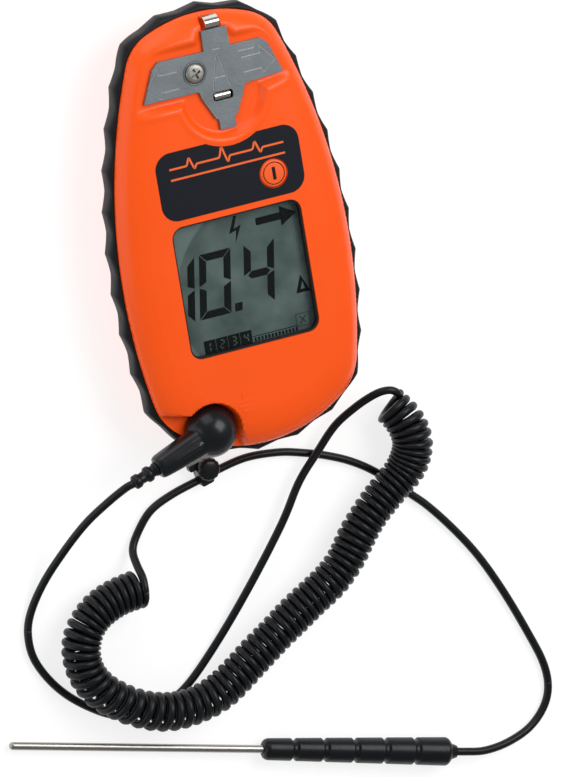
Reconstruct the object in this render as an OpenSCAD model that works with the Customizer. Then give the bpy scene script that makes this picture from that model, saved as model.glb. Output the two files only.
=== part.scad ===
// Hand-held electric-fence tester with an earth lead.
// The case lies on its back: X is to the right, Y runs towards the contact
// plate, Z comes out of the display face. Origin: centre of the rear face.
// The lead, its coil and the earth probe lie on the table beside the case.

/* [Case] */
// overall length of the case without the rubber band, mm
case_len = 162; // [160:0.5:163]
// half of the greatest width of the case, mm
half_w = 44.6; // [44:0.1:45.2]
// height of the display face above the table, mm
face_z = 30.4; // [30.2:0.1:30.8]
// wall thickness of the covers, mm
wall = 2.2; // [2:0.1:2.4]

/* [Grip band] */
// how far the band stands out in its valleys, mm
band_out = 1.3; // [0.9:0.1:1.8]
// extra height of each bump, mm
bump_h = 1.6; // [0.6:0.1:2]

/* [Button] */
// radius of the power button, mm
button_r = 5.2; // [4.8:0.1:5.2]

/* [Lead] */
// cable diameter, mm
cable_d = 3; // [2.6:0.1:3]
// number of turns in the coiled cord
coil_turns = 62; // [50:1:62]
// diameter of the wire of the coiled cord, mm
coil_wire_d = 2.1; // [1.8:0.1:2.1]

/* [Probe] */
// diameter of the earth rod, mm
rod_d = 3; // [2.8:0.1:3.2]
// length of the visible rod, mm
rod_len = 99; // [90:1:104]

/* [Hidden] */
$fn = 48;

orange = [0.96, 0.33, 0.07];
black = [0.07, 0.07, 0.08];
steel = [0.72, 0.73, 0.74];
plate_grey = [0.50, 0.53, 0.56];
nickel = [0.80, 0.78, 0.74];
board_green = [0.10, 0.36, 0.20];
brass = [0.78, 0.62, 0.28];

// heights
seam_z = 19;             // parting line of the two covers
band_z0 = 14.6;          // lower edge of the band
band_z1 = 22.5;          // upper edge of the band
board_z = 20.2;          // underside of the circuit board
board_t = 1.6;
parts_z = board_z + board_t + 0.05;  // underside of the parts on the board
pocket_z = 28.1;         // floor of the contact plate's pocket
trough_z = 26.95;        // floor of the contact strip's trough
recess_z = 23.2;         // floor of the plug recess
arm_z = 28.1;            // axis of the plug arm

// places on the case, [x, y]
socket_pos = [-21.3, -71.2];
slot_pos = [3.3, 50.2];    // slot in the contact plate
rim_pos = [3.0, 51.2];     // centre of the round rim below the contact plate
window_pos = [0, -18.2];
label_pos = [0.6, 21.8];
rear_label_pos = [0, -30];
button_pos = [17.1, 17.8];
plate_screw_pos = [-6.2, 60.6];
case_screw_pos = [[24.5, 26], [-24.5, 26], [27, -50], [-27, -50]];
battery_pos = [0, 33];

// sizes shared by neighbouring pieces
window_size = [51, 50];
label_size = [56.3, 25.5];
rear_label_size = [44, 28];
button_hole_r = 5.4;
rim_r = 17.6;
door_w = 35.9;
door_lip_w = 38.8;
door_y = 5.05;           // inner end of the battery door
door_gap = 0.1;
plug_sleeve_r = 1.98;
wire_r = 0.6;

// ---------- placing helpers ----------
module place(pos, z = 0) translate([pos[0], pos[1], z]) children();
module at_case_screws(z) for (p = case_screw_pos) place(p, z) children();
module slab(z, height, pos = [0, 0]) place(pos, z) linear_extrude(height) children();
// box centred across X on pos, and starting at pos in Y and Z
module block(size, pos) translate(pos - [size[0] / 2, 0, 0]) cube(size);
// two crossed boxes about the Z axis
module cross_slot(size, z, turn) for (a = [0, 90]) rotate([0, 0, a + turn])
  translate([-size[0] / 2, -size[1] / 2, z]) cube(size);
module rounded(size, r) {
  square([size[0] - 2 * r, size[1]], center = true);
  square([size[0], size[1] - 2 * r], center = true);
  for (x = [-1, 1]) for (y = [-1, 1])
    translate([x * (size[0] / 2 - r), y * (size[1] / 2 - r)]) circle(r);
}

// ---------- egg-shaped outline made of tangent arcs ----------
wide_y = -13;            // where the case is widest
side_r = 222;
top_r = 52;
bottom_r = 54;
top_corner_r = 17;
bottom_corner_r = 21;
function unit(v) = v / norm(v);
function heading(v) = atan2(v[1], v[0]);
// where two circles meet: the point with the higher y if up = 1, the lower if up = -1
function meet(centre1, r1, centre2, r2, up) =
  let (gap = norm(centre2 - centre1),
       along = (r1 * r1 - r2 * r2 + gap * gap) / (2 * gap),
       aside = sqrt(r1 * r1 - along * along),
       dir = (centre2 - centre1) / gap,
       foot = centre1 + dir * along,
       normal = [-dir[1], dir[0]],
       meet1 = foot + normal * aside,
       meet2 = foot - normal * aside)
  up * meet1[1] > up * meet2[1] ? meet1 : meet2;
side_c = [half_w - side_r, wide_y];
top_c = [0, case_len / 2 - top_r];
bottom_c = [0, -case_len / 2 + bottom_r];
top_corner = meet(side_c, side_r - top_corner_r, top_c, top_r - top_corner_r, 1);
bottom_corner = meet(side_c, side_r - bottom_corner_r,
  bottom_c, bottom_r - bottom_corner_r, -1);
// angles at which one arc passes into the next
joint1 = heading(top_corner - top_c);
joint2 = heading(top_corner - side_c);
joint3 = heading(bottom_corner - side_c);
joint4 = heading(bottom_corner - bottom_c);
// [centre, radius, start angle, end angle, steps]
arcs = [
  [top_c, top_r, 90, joint1, 7],
  [top_corner, top_corner_r, joint1, joint2, 6],
  [side_c, side_r, joint2, joint3, 13],
  [bottom_corner, bottom_corner_r, joint3, joint4, 7],
  [bottom_c, bottom_r, joint4, -90, 7]];
// outline points as [arc centre, radius, angle], clockwise seen from above
right_half = [for (a = arcs) for (i = [0 : a[4] - 1])
  [a[0], a[1], a[2] + (a[3] - a[2]) * i / a[4]]];
left_half = [for (i = [len(right_half) - 1 : -1 : 1])
  let (e = right_half[i]) [[-e[0][0], e[0][1]], e[1], 180 - e[2]]];
outline = concat(right_half, [[bottom_c, bottom_r, -90]], left_half);
outline_n = len(outline);
// outline point i, moved outwards by out
function egg_point(i, out) = let (e = outline[i % outline_n])
  e[0] + (e[1] + out) * [cos(e[2]), sin(e[2])];
function egg(out) = [for (i = [0 : outline_n - 1]) egg_point(i, out)];
function egg_at(out, z) = [for (p = egg(out)) [p[0], p[1], z]];

// ---------- skins over rings of points ----------
// triangles from each of the first count rings of n points to its next ring
function side_faces(n, count, ring_count) =
  [for (k = [0 : count - 1]) for (i = [0 : n - 1])
    let (j = (i + 1) % n, next = (k + 1) % ring_count)
    for (face = [[k * n + i, k * n + j, next * n + j],
                 [k * n + i, next * n + j, next * n + i]]) face];
// closed skin over a stack of rings, each clockwise seen from the last ring's end
module skin(rings) {
  n = len(rings[0]);
  m = len(rings);
  polyhedron(
    points = [for (r = rings) for (p = r) p],
    faces = concat(
      [[for (i = [n - 1 : -1 : 0]) i]],
      side_faces(n, m - 1, m),
      [[for (i = [0 : n - 1]) (m - 1) * n + i]]),
    convexity = 6);
}
// closed hoop: the last ring joins the first
module hoop(rings) {
  m = len(rings);
  polyhedron(
    points = [for (r = rings) for (p = r) p],
    faces = side_faces(len(rings[0]), m, m),
    convexity = 6);
}
module loft(levels) skin([for (l = levels) egg_at(l[1], l[0])]);
function reversed(list) = [for (i = [len(list) - 1 : -1 : 0]) list[i]];

// ---------- smooth paths through a few stations ----------
// Catmull-Rom curve from p1 to p2
function curve(p0, p1, p2, p3, t) =
  0.5 * (2 * p1 + (p2 - p0) * t + (2 * p0 - 5 * p1 + 4 * p2 - p3) * t * t
  + (3 * p1 - p0 - 3 * p2 + p3) * t * t * t);
function smooth(p, steps) = let (n = len(p))
  concat([for (i = [0 : n - 2]) for (j = [0 : steps - 1])
    curve(i == 0 ? 2 * p[0] - p[1] : p[i - 1], p[i], p[i + 1],
      i == n - 2 ? 2 * p[n - 1] - p[n - 2] : p[i + 2], j / steps)], [p[n - 1]]);
// running length at each point
function running_length(p) = [for (i = 0, s = 0; i < len(p);
  i = i + 1, s = i < len(p) ? s + norm(p[i] - p[i - 1]) : s) s];
function tangent(p, i) = unit(p[min(i + 1, len(p) - 1)] - p[max(i - 1, 0)]);
// ring of points square to axis; up sets where it starts
function circle_ring(centre, axis, up, r, sides) =
  let (e1 = unit(up - (up * axis) * axis), e2 = cross(axis, e1))
  [for (i = [0 : sides - 1])
    centre + r * (cos(360 * i / sides) * e1 - sin(360 * i / sides) * e2)];
cable_up = [0.03, 0.02, 1];  // never parallel to a cable
module cable(stations, r) {
  path = smooth(stations, 3);
  skin([for (i = [0 : len(path) - 1])
    circle_ring(path[i], tangent(path, i), cable_up, r, 8)]);
}

// ---------- covers ----------
// [height, distance outside the outline]
front_levels = [[seam_z + 0.05, 0], [23.4, 0], [24.9, -0.7], [26.5, -2.1],
  [27.9, -3.9], [29.1, -6.6], [29.9, -9.8], [face_z, -15.5]];
front_cavity = [[seam_z + 0.05, -wall], [23, -wall], [25.2, -wall - 2.1],
  [26.8, -wall - 5.2], [face_z - wall - 0.2, -wall - 11]];
rear_levels = [[0, -13.5], [0.7, -10.6], [2.6, -6.9], [5.6, -3.6],
  [9.4, -1.4], [band_z0 - 0.1, 0], [seam_z, 0]];
// the step at its top is the groove of the seal
rear_cavity = [[wall, -15], [3.6, -10], [6.6, -6.2], [11, -3.5],
  [16, -wall], [18, -wall], [18, -wall + 0.95], [seam_z, -wall + 0.95]];

// outlines in [x, y]: pocket of the contact plate, fan-shaped recess of the plug arm
pocket_pts = [[-34.6, 49.6], [-29.4, 66.4], [-25.4, 71.2], [-20.5, 73.2], [-5.4, 73.2],
  [-4.4, 75], [-4.2, 90], [10.6, 90], [10.9, 75], [12.2, 73.2], [20.6, 73.2], [25.6, 71],
  [28.6, 66.4], [33.2, 50.6], [20, 48.6], [-14, 48.6]];
fan_pts = [[-29.4, -63.1], [-42, -60.4], [-61, -65.4], [-61, -100], [-6, -100],
  [-8.6, -79.4], [-12.3, -65.9]];
pad_pts = [for (p = egg(-9)) if (p[1] > 37) p];
// the part of the egg to the left of and below a corner point
function lower_left(out, corner) =
  concat([for (p = egg(out)) if (p[0] < corner[0] && p[1] < corner[1]) p], [corner]);

module front_cover() color(orange) difference() {
  union() {
    loft(concat(reversed(front_cavity), front_levels));
    // pads under the contact plate and strip, the window, the label and the button
    slab(25.2, 3.6) polygon(pad_pts);
    block([10, 8.6, 2.9], [slot_pos[0], 70, 23.2]);
    slab(27.65, 1.2, window_pos) square([64, 62], center = true);
    slab(27.65, 1.2, [0.6, 22.8]) square([60, 30], center = true);
    place(button_pos, 26.2) cylinder(r = 8, h = 2.6);
    // screw bosses, boss of the brass insert, boss of the earth socket
    at_case_screws(14.2) cylinder(r = 3.6, h = 14.6);
    place(plate_screw_pos, 22.1) cylinder(r = 4.4, h = 4);
    place(socket_pos, seam_z + 0.05) cylinder(r = 4.7, h = 4.3);
    // floor and walls of the plug recess
    slab(21.85, 2) polygon(lower_left(-1.2, [-8.5, -60.2]));
    slab(21.85, 6.6) polygon(lower_left(-6, [-7, -58.6]));
  }
  at_case_screws(13) cylinder(r = 1.52, h = 10.6);
  // display opening, label pocket and button hole
  slab(20, 14, window_pos) rounded(window_size, 4.6);
  slab(face_z - 0.36, 2, label_pos) rounded(label_size + [0.3, 0.3], 6.2);
  place(button_pos, 20) cylinder(r = button_hole_r, h = 14);
  // pocket of the contact plate with its round rim
  slab(pocket_z, 6) polygon(pocket_pts);
  place(rim_pos, pocket_z) cylinder(r = rim_r, h = 6);
  // trough of the contact strip, running over the shoulder
  block([6.6, 29, 3], [slot_pos[0], 45.8, trough_z]);
  block([6.6, 10, 8], [slot_pos[0], 74.6, 24.4]);
  place(plate_screw_pos, 22.6) cylinder(r = 2.62, h = 8);
  // recess of the plug and hole of the socket
  place(socket_pos, recess_z) cylinder(r = 11, h = 10);
  slab(recess_z, 10) polygon(fan_pts);
  place(socket_pos, 10) cylinder(r = 2.58, h = 20);
}

module rear_cover() color(orange) difference() {
  union() {
    loft(concat(rear_levels, reversed(rear_cavity)));
    at_case_screws(1.6) cylinder(r = 4.3, h = 12.5);
    // frame round the battery opening and ribs that hold the battery
    slab(1.8, 2, battery_pos) square([42, 56], center = true);
    for (side = [-1, 1]) {
      block([1.6, 50.8, 12], [side * 14.6, battery_pos[1] - 25.4, 2]);
      block([30.8, 1.6, 9], [0, battery_pos[1] + side * 25.6 - 0.8, 2]);
    }
  }
  at_case_screws(-1) {
    cylinder(r = 3.1, h = 5);
    cylinder(r = 1.62, h = 20);
  }
  // battery opening with its door channel
  block([27.6, 49.2, 8], [0, battery_pos[1] - 24.6, -1]);
  block([door_w + 2 * door_gap, 90, 2.1], [0, door_y - door_gap, -1]);
  block([door_lip_w + 2 * door_gap, 90, 1.0], [0, door_y - door_gap, 1.05]);
  // pocket of the rating label
  slab(-1, 1.3, rear_label_pos) rounded(rear_label_size + [0.4, 0.4], 3);
  // room for the earth socket
  place(socket_pos, 8.6) cylinder(r = 2.95, h = 20);
}

// ---------- band and seal ----------
bump_n = 28;
bump_phase = 0.35;       // shift of the bumps, as a share of their pitch
// bumps go by running length, so that they are evenly spaced
egg_len = running_length(concat(egg(0), [egg_point(0, 0)]));
function bump_at(share) =
  let (t = share * bump_n + bump_phase, off_peak = abs(t - floor(t) - 0.5) * 2)
  bump_h * pow(max(0, 1 - off_peak), 1.5);
// each side of the outline gives its first corner (k = 0) and its middle (k = 1)
function band_ring(z, out, amount) = [for (i = [0 : outline_n - 1]) for (k = [0, 1])
  let (share = (egg_len[i] + (egg_len[i + 1] - egg_len[i]) * k / 2) / egg_len[outline_n],
       d = out + amount * bump_at(share),
       a = egg_point(i, d),
       b = egg_point(i + 1, d),
       p = k == 0 ? a : (a + b) / 2)
  [p[0], p[1], z]];
// [height, distance outside the outline, share of the bump height]
band_profile = [[band_z0, 0.02, 0], [band_z0, 0.6, 0.3], [16.4, band_out, 0.9],
  [20.8, band_out, 0.9], [band_z1, 0.7, 0.3], [band_z1, 0.02, 0]];
module grip_band() color(black)
  hoop([for (p = band_profile) band_ring(p[0], p[1], p[2])]);

module case_seal() color([0.12, 0.12, 0.13]) slab(18.03, 0.94) difference() {
  polygon(egg(-wall + 0.92));
  polygon(egg(-wall + 0.05));
}

// ---------- face label and display ----------
module face_label() color([0.10, 0.11, 0.15]) slab(face_z - 0.34, 0.3) difference() {
  translate(label_pos) rounded(label_size, 6);
  translate(button_pos) circle(button_hole_r + 0.1);
  translate(rim_pos) circle(rim_r + 0.2);
}
module lcd_window() color([0.80, 0.86, 0.84, 0.35]) place(window_pos, 26.4) {
  linear_extrude(1.2) rounded([56, 55], 3);
  // raised border that lines the opening
  slab(1.1, 2.3) difference() {
    rounded(window_size - [0.16, 0.16], 4.5);
    rounded(window_size - [1.3, 1.3], 4);
  }
}
lcd_size = [53, 52];
module lcd_panel() color([0.55, 0.60, 0.56])
  slab(23.6, 2.6, window_pos) square(lcd_size, center = true);
module lcd_bezel() color([0.9, 0.9, 0.88]) place(window_pos, 22.2) difference() {
  linear_extrude(3.95) square([58, 56], center = true);
  // seat of the panel, and the opening below it
  slab(1.3, 4) square(lcd_size + [0.2, 0.2], center = true);
  slab(-1, 4) square([50, 53.4], center = true);
}
module zebra_strip() color([0.85, 0.55, 0.60]) for (side = [-1, 1])
  place(window_pos + [0, side * 24.6], 22.75) cube([48, 2.2, 1.6], center = true);

// ---------- circuit board ----------
board_pts = [[-30, 40], [-24, 60], [-10, 70], [14, 70], [24, 60], [30, 40], [36, -10],
  [35, -46], [26, -62], [-10, -62], [-18, -58], [-30, -58], [-35, -46], [-36, -10]];
// [corner, size]
box_parts = [[[-14, 20], [10, 10, 1.6]], [[4, 24], [6, 5, 1.5]], [[-17, 43], [4, 2, 1.2]],
  [[21, 46], [5, 3.4, 2]], [[10, -56], [7, 5, 1.5]], [[-8, -57], [3.2, 1.6, 1]],
  [[0, -54], [3.2, 1.6, 1]]];
// [centre, radius, height]
round_parts = [[[-25, 48], 2.5, 3], [[14, 52], 2, 2.8]];
module main_board() color(board_green) translate([0, 0, board_z]) difference() {
  linear_extrude(board_t) polygon(board_pts);
  at_case_screws(-1) cylinder(r = 4.1, h = 4);
  place(plate_screw_pos, -1) cylinder(r = 1.2, h = 4);
}
module board_components() color([0.13, 0.13, 0.14]) {
  for (b = box_parts) place(b[0], parts_z) cube(b[1]);
  for (c = round_parts) place(c[0], parts_z) cylinder(r = c[1], h = c[2]);
}
module sense_coil() color([0.72, 0.40, 0.18]) translate([0, 40, 22.95])
  rotate([0, 90, 0]) {
    translate([0, 0, -6]) cylinder(r = 1.0, h = 17);
    translate([0, 0, -3.5]) cylinder(r = 1.08, h = 12);
  }

// ---------- power button ----------
module tactile_switch() color([0.2, 0.2, 0.21]) place(button_pos, parts_z) difference() {
  block([6, 6, 2.55], [0, -3, 0]);
  translate([0, 0, 1.2]) cylinder(r = 1.8, h = 3);
}
module switch_plunger() color(black) place(button_pos, 23.6) cylinder(r = 1.74, h = 2.25);
module power_button() color(orange) place(button_pos) difference() {
  union() {
    translate([0, 0, 26.6]) cylinder(r = button_r, h = face_z - 26.6);
    translate([0, 0, face_z]) cylinder(r1 = button_r, r2 = button_r - 0.5, h = 0.5);
    // flange below the cover, and the neck above it
    translate([0, 0, 25.05]) cylinder(r = 6.4, h = 0.7);
    translate([0, 0, 25.6]) cylinder(r = 4.2, h = 1.2);
  }
  translate([0, 0, 25]) cylinder(r = 2.4, h = 0.9);
  // engraved ring and bar
  translate([0, 0, face_z + 0.3]) difference() {
    cylinder(r = 4.3, h = 1);
    translate([0, 0, -1]) cylinder(r = 3.9, h = 3);
  }
  block([1.4, 5.2, 1], [0, -2.6, face_z + 0.3]);
}

// ---------- contact plate ----------
plate_shape = [[-27.6, 54.6], [-22.4, 66.6], [-19.8, 68.9], [-1.8, 68.6], [-1.6, 76.2],
  [8.3, 76.2], [8.6, 68.8], [20.4, 68.8], [23, 66.4], [27.3, 54.7], [12, 53.6],
  [10.8, 50.4], [7.2, 43.2], [6.2, 42.8], [6.2, 38.9], [-0.1, 38.9], [-0.1, 42.8],
  [-1.2, 43.4], [-5.2, 51.4], [-6, 54.4]];
plate_pts = [for (p = plate_shape) p + [0.3, -1.0]];
engrave_z = 29.1;
// engraved line: [start], turn about Z, length
module engraved(start, turn, length)
  place(start, engrave_z) rotate([0, 0, turn]) cube([length, 0.35, 1]);
module contact_plate() color(plate_grey) difference() {
  slab(pocket_z + 0.05, 1.1) polygon(plate_pts);
  slab(27, 4, slot_pos) rounded([7.8, 3.4], 1.1);
  place(plate_screw_pos, 27) cylinder(r = 1.7, h = 4);
  place(plate_screw_pos, 28.95) cylinder(r = 4.4, h = 2);
  // arrows on the arms
  for (m = [0, 1]) mirror([m, 0, 0]) {
    engraved([14.5, 64.2], 0, 7);
    engraved([14.5, 58.3], 0, 7);
    engraved([22, 65.6], -60, 5.0);
    engraved([22, 57.0], 60, 5.0);
  }
  // needle in the middle
  for (side = [-1, 1]) engraved([slot_pos[0], 65], -90 + side * 14, 8.5);
}
module contact_screw() color(steel) place(plate_screw_pos) difference() {
  union() {
    translate([0, 0, 28.97]) cylinder(r = 3.6, h = 0.7);
    translate([0, 0, 29.67]) cylinder(r1 = 3.6, r2 = 2.7, h = 0.6);
    translate([0, 0, 23.2]) cylinder(r = 1.48, h = 5.9);
  }
  cross_slot([4.2, 0.9, 2], 29.2, 35);
}
module contact_insert() color(brass) place(plate_screw_pos, 22.7) difference() {
  union() {
    cylinder(r = 2.58, h = 1.8);
    translate([0, 0, 1.7]) cylinder(r = 2.3, h = 0.9);
    translate([0, 0, 2.5]) cylinder(r = 2.58, h = 2.7);
  }
  translate([0, 0, -1]) cylinder(r = 1.52, h = 8);
}
strip_w = 6;
module contact_strip() color(nickel) translate([slot_pos[0], 0, 0]) {
  block([strip_w, 31.4, 0.9], [0, 46.2, trough_z + 0.1]);
  block([strip_w, 2.8, 2.9], [0, 76.5, 24.9]);
  // rounded top of the strip that stands out beyond the plate
  translate([-strip_w / 2, 77.9, 27.75]) rotate([0, 90, 0]) cylinder(r = 1.45, h = strip_w);
}

// ---------- earth socket ----------
module earth_socket() color(nickel) place(socket_pos) difference() {
  union() {
    translate([0, 0, 9.4]) cylinder(r = 2.55, h = 13.6);
    translate([0, 0, 9.0]) cylinder(r = 2.2, h = 0.6);
  }
  translate([0, 0, 9.9]) cylinder(r = 2.04, h = 20);
}
module socket_wire() color([0.75, 0.1, 0.1])
  cable([[socket_pos[0] + 1.2, socket_pos[1] + 5.2, 14], [-18, -64, 16],
    [-17, -60, 18.4], [-14, -58, 19.4]], wire_r);

// ---------- battery; y is measured from the battery's place ----------
// [x, radius] of the two terminals
terminals = [[-6.4, 3.2], [6.4, 3.8]];
module terminal_pair(y, extra_r, length) for (t = terminals)
  translate([t[0], y, 11.4]) rotate([-90, 0, 0]) cylinder(r = t[1] + extra_r, h = length);
module battery() color([0.16, 0.17, 0.20]) place(battery_pos) {
  block([26.2, 46.6, 16.9], [0, -24.2, 2.9]);
  terminal_pair(22.3, 0, 1.9);
}
module battery_snap() color([0.1, 0.1, 0.1]) place(battery_pos) difference() {
  block([24.8, 2.1, 12.4], [0, 22.45, 5.2]);
  terminal_pair(20, 0.05, 4.3);
}
module battery_wires() color([0.6, 0.08, 0.08]) place(battery_pos) for (side = [-1, 1])
  cable([[side * 9, 25.3, 12.7], [side * 9.6, 27.2, 13.7], [side * 10, 28.6, 16],
    [side * 9.6, 28.8, 19.9]], wire_r);
module battery_pad() color([0.25, 0.25, 0.26]) place(battery_pos)
  block([24, 42, 0.74], [0, -22, 2.12]);

// ---------- outside of the rear cover ----------
module battery_door() color(orange) difference() {
  union() {
    block([door_w, 61, 1.2], [0, door_y, 0]);
    block([door_lip_w, 61, 0.85], [0, door_y, 1.13]);
  }
  // grooves between the thumb ribs
  for (i = [0 : 5]) block([16, 0.7, 1.4], [0, 54 + i * 1.8, -1]);
}
module rear_label() color([0.85, 0.85, 0.84])
  slab(0.04, 0.22, rear_label_pos) rounded(rear_label_size, 2.8);
// each screw's cross is turned by its own x, so that they don't all line up
module case_screws() color(steel) for (p = case_screw_pos) place(p) difference() {
  union() {
    translate([0, 0, 2.2]) cylinder(r = 2.8, h = 1.75);
    translate([0, 0, 3.9]) cylinder(r = 1.48, h = 16);
  }
  cross_slot([3.4, 0.7, 2.2], 1, p[0]);
}

// ---------- plug ----------
plug_angle = 198.5;      // direction in which the plug arm leaves
// frame with Z along the axis of the arm
module arm_frame() place(socket_pos, arm_z) rotate([0, 90, plug_angle]) children();
module plug_pin() color(nickel) place(socket_pos) {
  translate([0, 0, 11]) cylinder(r1 = 1.0, r2 = 1.5, h = 1.2);
  translate([0, 0, 12.2]) cylinder(r = 1.5, h = 9.6);
  translate([0, 0, 21.7]) cylinder(r = plug_sleeve_r, h = 1.6);
  translate([0, 0, 23.2]) cylinder(r = plug_sleeve_r, h = 6);
}
module plug_spring() color(brass) place(socket_pos, 13) difference() {
  cylinder(r = plug_sleeve_r, h = 8.2);
  translate([0, 0, -1]) cylinder(r = 1.54, h = 12);
  cross_slot([6, 0.5, 5.4], 1.4, 45);
}
module plug_housing() color(black) difference() {
  union() {
    // domed head
    place(socket_pos, 23.7) cylinder(r = 9.2, h = 1.5);
    place(socket_pos, 25.1) intersection() {
      sphere(r = 9.4, $fn = 64);
      cylinder(r = 12, h = 12);
    }
    arm_frame() {
      cylinder(r1 = 4.4, r2 = 4.1, h = 24.3);
      translate([0, 0, 24.3]) cylinder(r1 = 4.1, r2 = 3.4, h = 1.4);
    }
    // flat-sided underside of the arm, and the ridge on top
    place(socket_pos) rotate([0, 0, plug_angle]) {
      translate([0, -3.6, 24.2]) cube([22.6, 7.2, 4]);
      translate([6, -0.5, arm_z]) cube([17, 1, 4.7]);
    }
  }
  place(socket_pos, 20) cylinder(r = 2.02, h = 9.3);
  arm_frame() translate([0, 0, 18]) cylinder(r = 1.9, h = 12);
}
// [start along the arm, width, radius]
boot_ribs = [[26.1, 1.5, 2.9], [29.2, 1.2, 2.5], [32.6, 2.6, 2.6]];
module plug_boot() color(black) arm_frame() difference() {
  union() {
    translate([0, 0, 18.8]) cylinder(r = 1.85, h = 8);
    translate([0, 0, 25.8]) cylinder(r = 2.1, h = 9.4);
    for (b = boot_ribs) translate([0, 0, b[0]]) cylinder(r = b[2], h = b[1]);
  }
  translate([0, 0, 22]) cylinder(r = 1.55, h = 20);
}

// ---------- cables; stations are [x, y, z] ----------
function arm_point(distance) = [socket_pos[0], socket_pos[1], arm_z]
  + distance * [cos(plug_angle), sin(plug_angle), 0];
// from inside the boot to just beyond it
arm_stations = [arm_point(23.5), arm_point(29.5), arm_point(35.5),
  arm_point(38.5) - [0, 0, 0.6]];
plug_stations = [
  [-64.2, -88.4, 23], [-71.7, -95.9, 16.4], [-79.4, -106.4, 9],
  [-86.8, -116.8, 4], [-92.6, -126.9, 1.6], [-95.2, -135, 1.6], [-94.3, -145, 1.6],
  [-88, -156.5, 1.6], [-78.5, -166, 1.6], [-66, -173.5, 1.6], [-52, -174.5, 1.6],
  [-39.7, -170.3, 1.6], [-25, -157.2, 1.8], [-9, -138.3, 4.2], [7.4, -117.5, 5.4],
  [16.2, -104, 5.8], [25, -94.9, 5.8], [33.3, -86.3, 6.8], [41.1, -80.9, 9.4],
  [46.7, -77.9, 11.6], [50.8, -76.5, 13.1], [54.4, -76.6, 13.9], [56.8, -78.1, 13.6],
  [57.75, -79.05, 12.6]];
probe_stations = [
  [-51.8, -126.3, 13.45], [-51.5, -122, 11.6], [-51.4, -118, 7.2], [-50.6, -113.8, 3.2],
  [-47.6, -109, 1.6], [-41, -101.5, 1.6], [-31.5, -97.4, 1.6], [-19.9, -94.6, 1.6],
  [-9, -92, 1.6], [0.5, -90.9, 1.6], [12, -92.1, 1.6], [20.2, -94.3, 1.6],
  [29.7, -97.7, 1.6], [39.3, -102.4, 1.6], [48.5, -109, 1.6], [60.1, -120.1, 1.6],
  [66.4, -126.6, 1.6], [74.7, -137.4, 1.6], [82.8, -150.1, 1.6], [90.4, -166, 1.6],
  [97.6, -184.5, 1.6], [101.3, -196.2, 1.6], [101.6, -205.4, 1.6], [98.2, -212.8, 1.7],
  [91, -218.6, 2.4], [80.9, -221.4, 3.8], [71.4, -221.6, 5.2], [64.4, -220.1, 5.56],
  [60.1, -218.97, 5.5], [55.7, -217.8, 5.42]];
module plug_cable() color(black) cable(concat(arm_stations, plug_stations), cable_d / 2);
module probe_cable() color(black) cable(probe_stations, cable_d / 2);

clip_turn = 14;
clip_knob = [0.7, 3.8];
module cable_clip() color(black) translate([-18.2, -94.2, 0]) difference() {
  union() {
    rotate([0, 0, clip_turn]) {
      translate([-2.6, -2.3, 0.02]) cube([5.2, 6, 4.4]);
      translate([-4.9, 5.0, 2.2]) cube([5, 2.4, 2.6]);
    }
    // ribbed round knob
    place(clip_knob, 1.8) cylinder(r = 4.2, h = 5.4);
    for (i = [0 : 13]) place(clip_knob) rotate([0, 0, i * 360 / 14])
      translate([3.85, -0.4, 2.3]) cube([0.6, 0.8, 4.4]);
    place(clip_knob, 7.1) cylinder(r1 = 4.0, r2 = 2.9, h = 0.8);
  }
  // cable channel, open below
  rotate([0, 0, clip_turn]) {
    translate([-8, 0, 1.6]) rotate([0, 90, 0]) cylinder(r = cable_d / 2 + 0.2, h = 16);
    translate([-8, -1.0, -1]) cube([16, 2.0, 1.4]);
  }
}

// ---------- coiled cord ----------
// stations of the coil's axis
coil_stations = [
  [54.6, -83.0, 9.4], [57.8, -87.9, 11.6], [59.7, -93.6, 12.9], [59.9, -99.6, 12.9],
  [56.4, -107.3, 11.6], [48.7, -113.6, 10.7], [41.1, -119.9, 10.5], [34, -127.2, 10.5],
  [28.1, -135.1, 10.5], [20.6, -141.7, 10.5], [12, -146.5, 10.5], [3.3, -151.6, 10.5],
  [-5, -156.8, 10.5], [-13.5, -162.2, 10.5], [-21.7, -167.8, 10.5], [-30.1, -172.4, 10.6],
  [-40.2, -174.6, 10.7], [-50, -174.2, 10.9], [-59.4, -170.9, 11], [-67.7, -165.7, 11],
  [-75.3, -158.7, 11], [-79.4, -149.4, 11], [-78.3, -139.4, 10.5], [-71.8, -131.8, 9.4],
  [-62.1, -128, 8.2], [-52.2, -127, 7.6]];
// [share of the length, share of the turns wound]: a wider pitch round the bend
coil_wind = [[0, 0], [0.06, 0.05], [0.14, 0.127], [0.333, 0.35], [0.565, 0.61],
  [0.666, 0.706], [0.754, 0.764], [0.796, 0.797], [0.838, 0.834], [1, 1]];
coil_start = 65;         // angle at which the winding starts
coil_steps = 11;         // steps in a turn
coil_axis = smooth(coil_stations, 4);
coil_s = running_length(coil_axis);
coil_len = coil_s[len(coil_s) - 1];
// for each of x, y and z a table of [running length, value]
coil_tables = [for (k = [0 : 2]) [for (i = [0 : len(coil_axis) - 1])
  [coil_s[i], coil_axis[i][k]]]];
function on_axis(s) = [for (table = coil_tables) lookup(s, table)];
function coil_r(share) = 5.65 + 0.1 * share;
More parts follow.
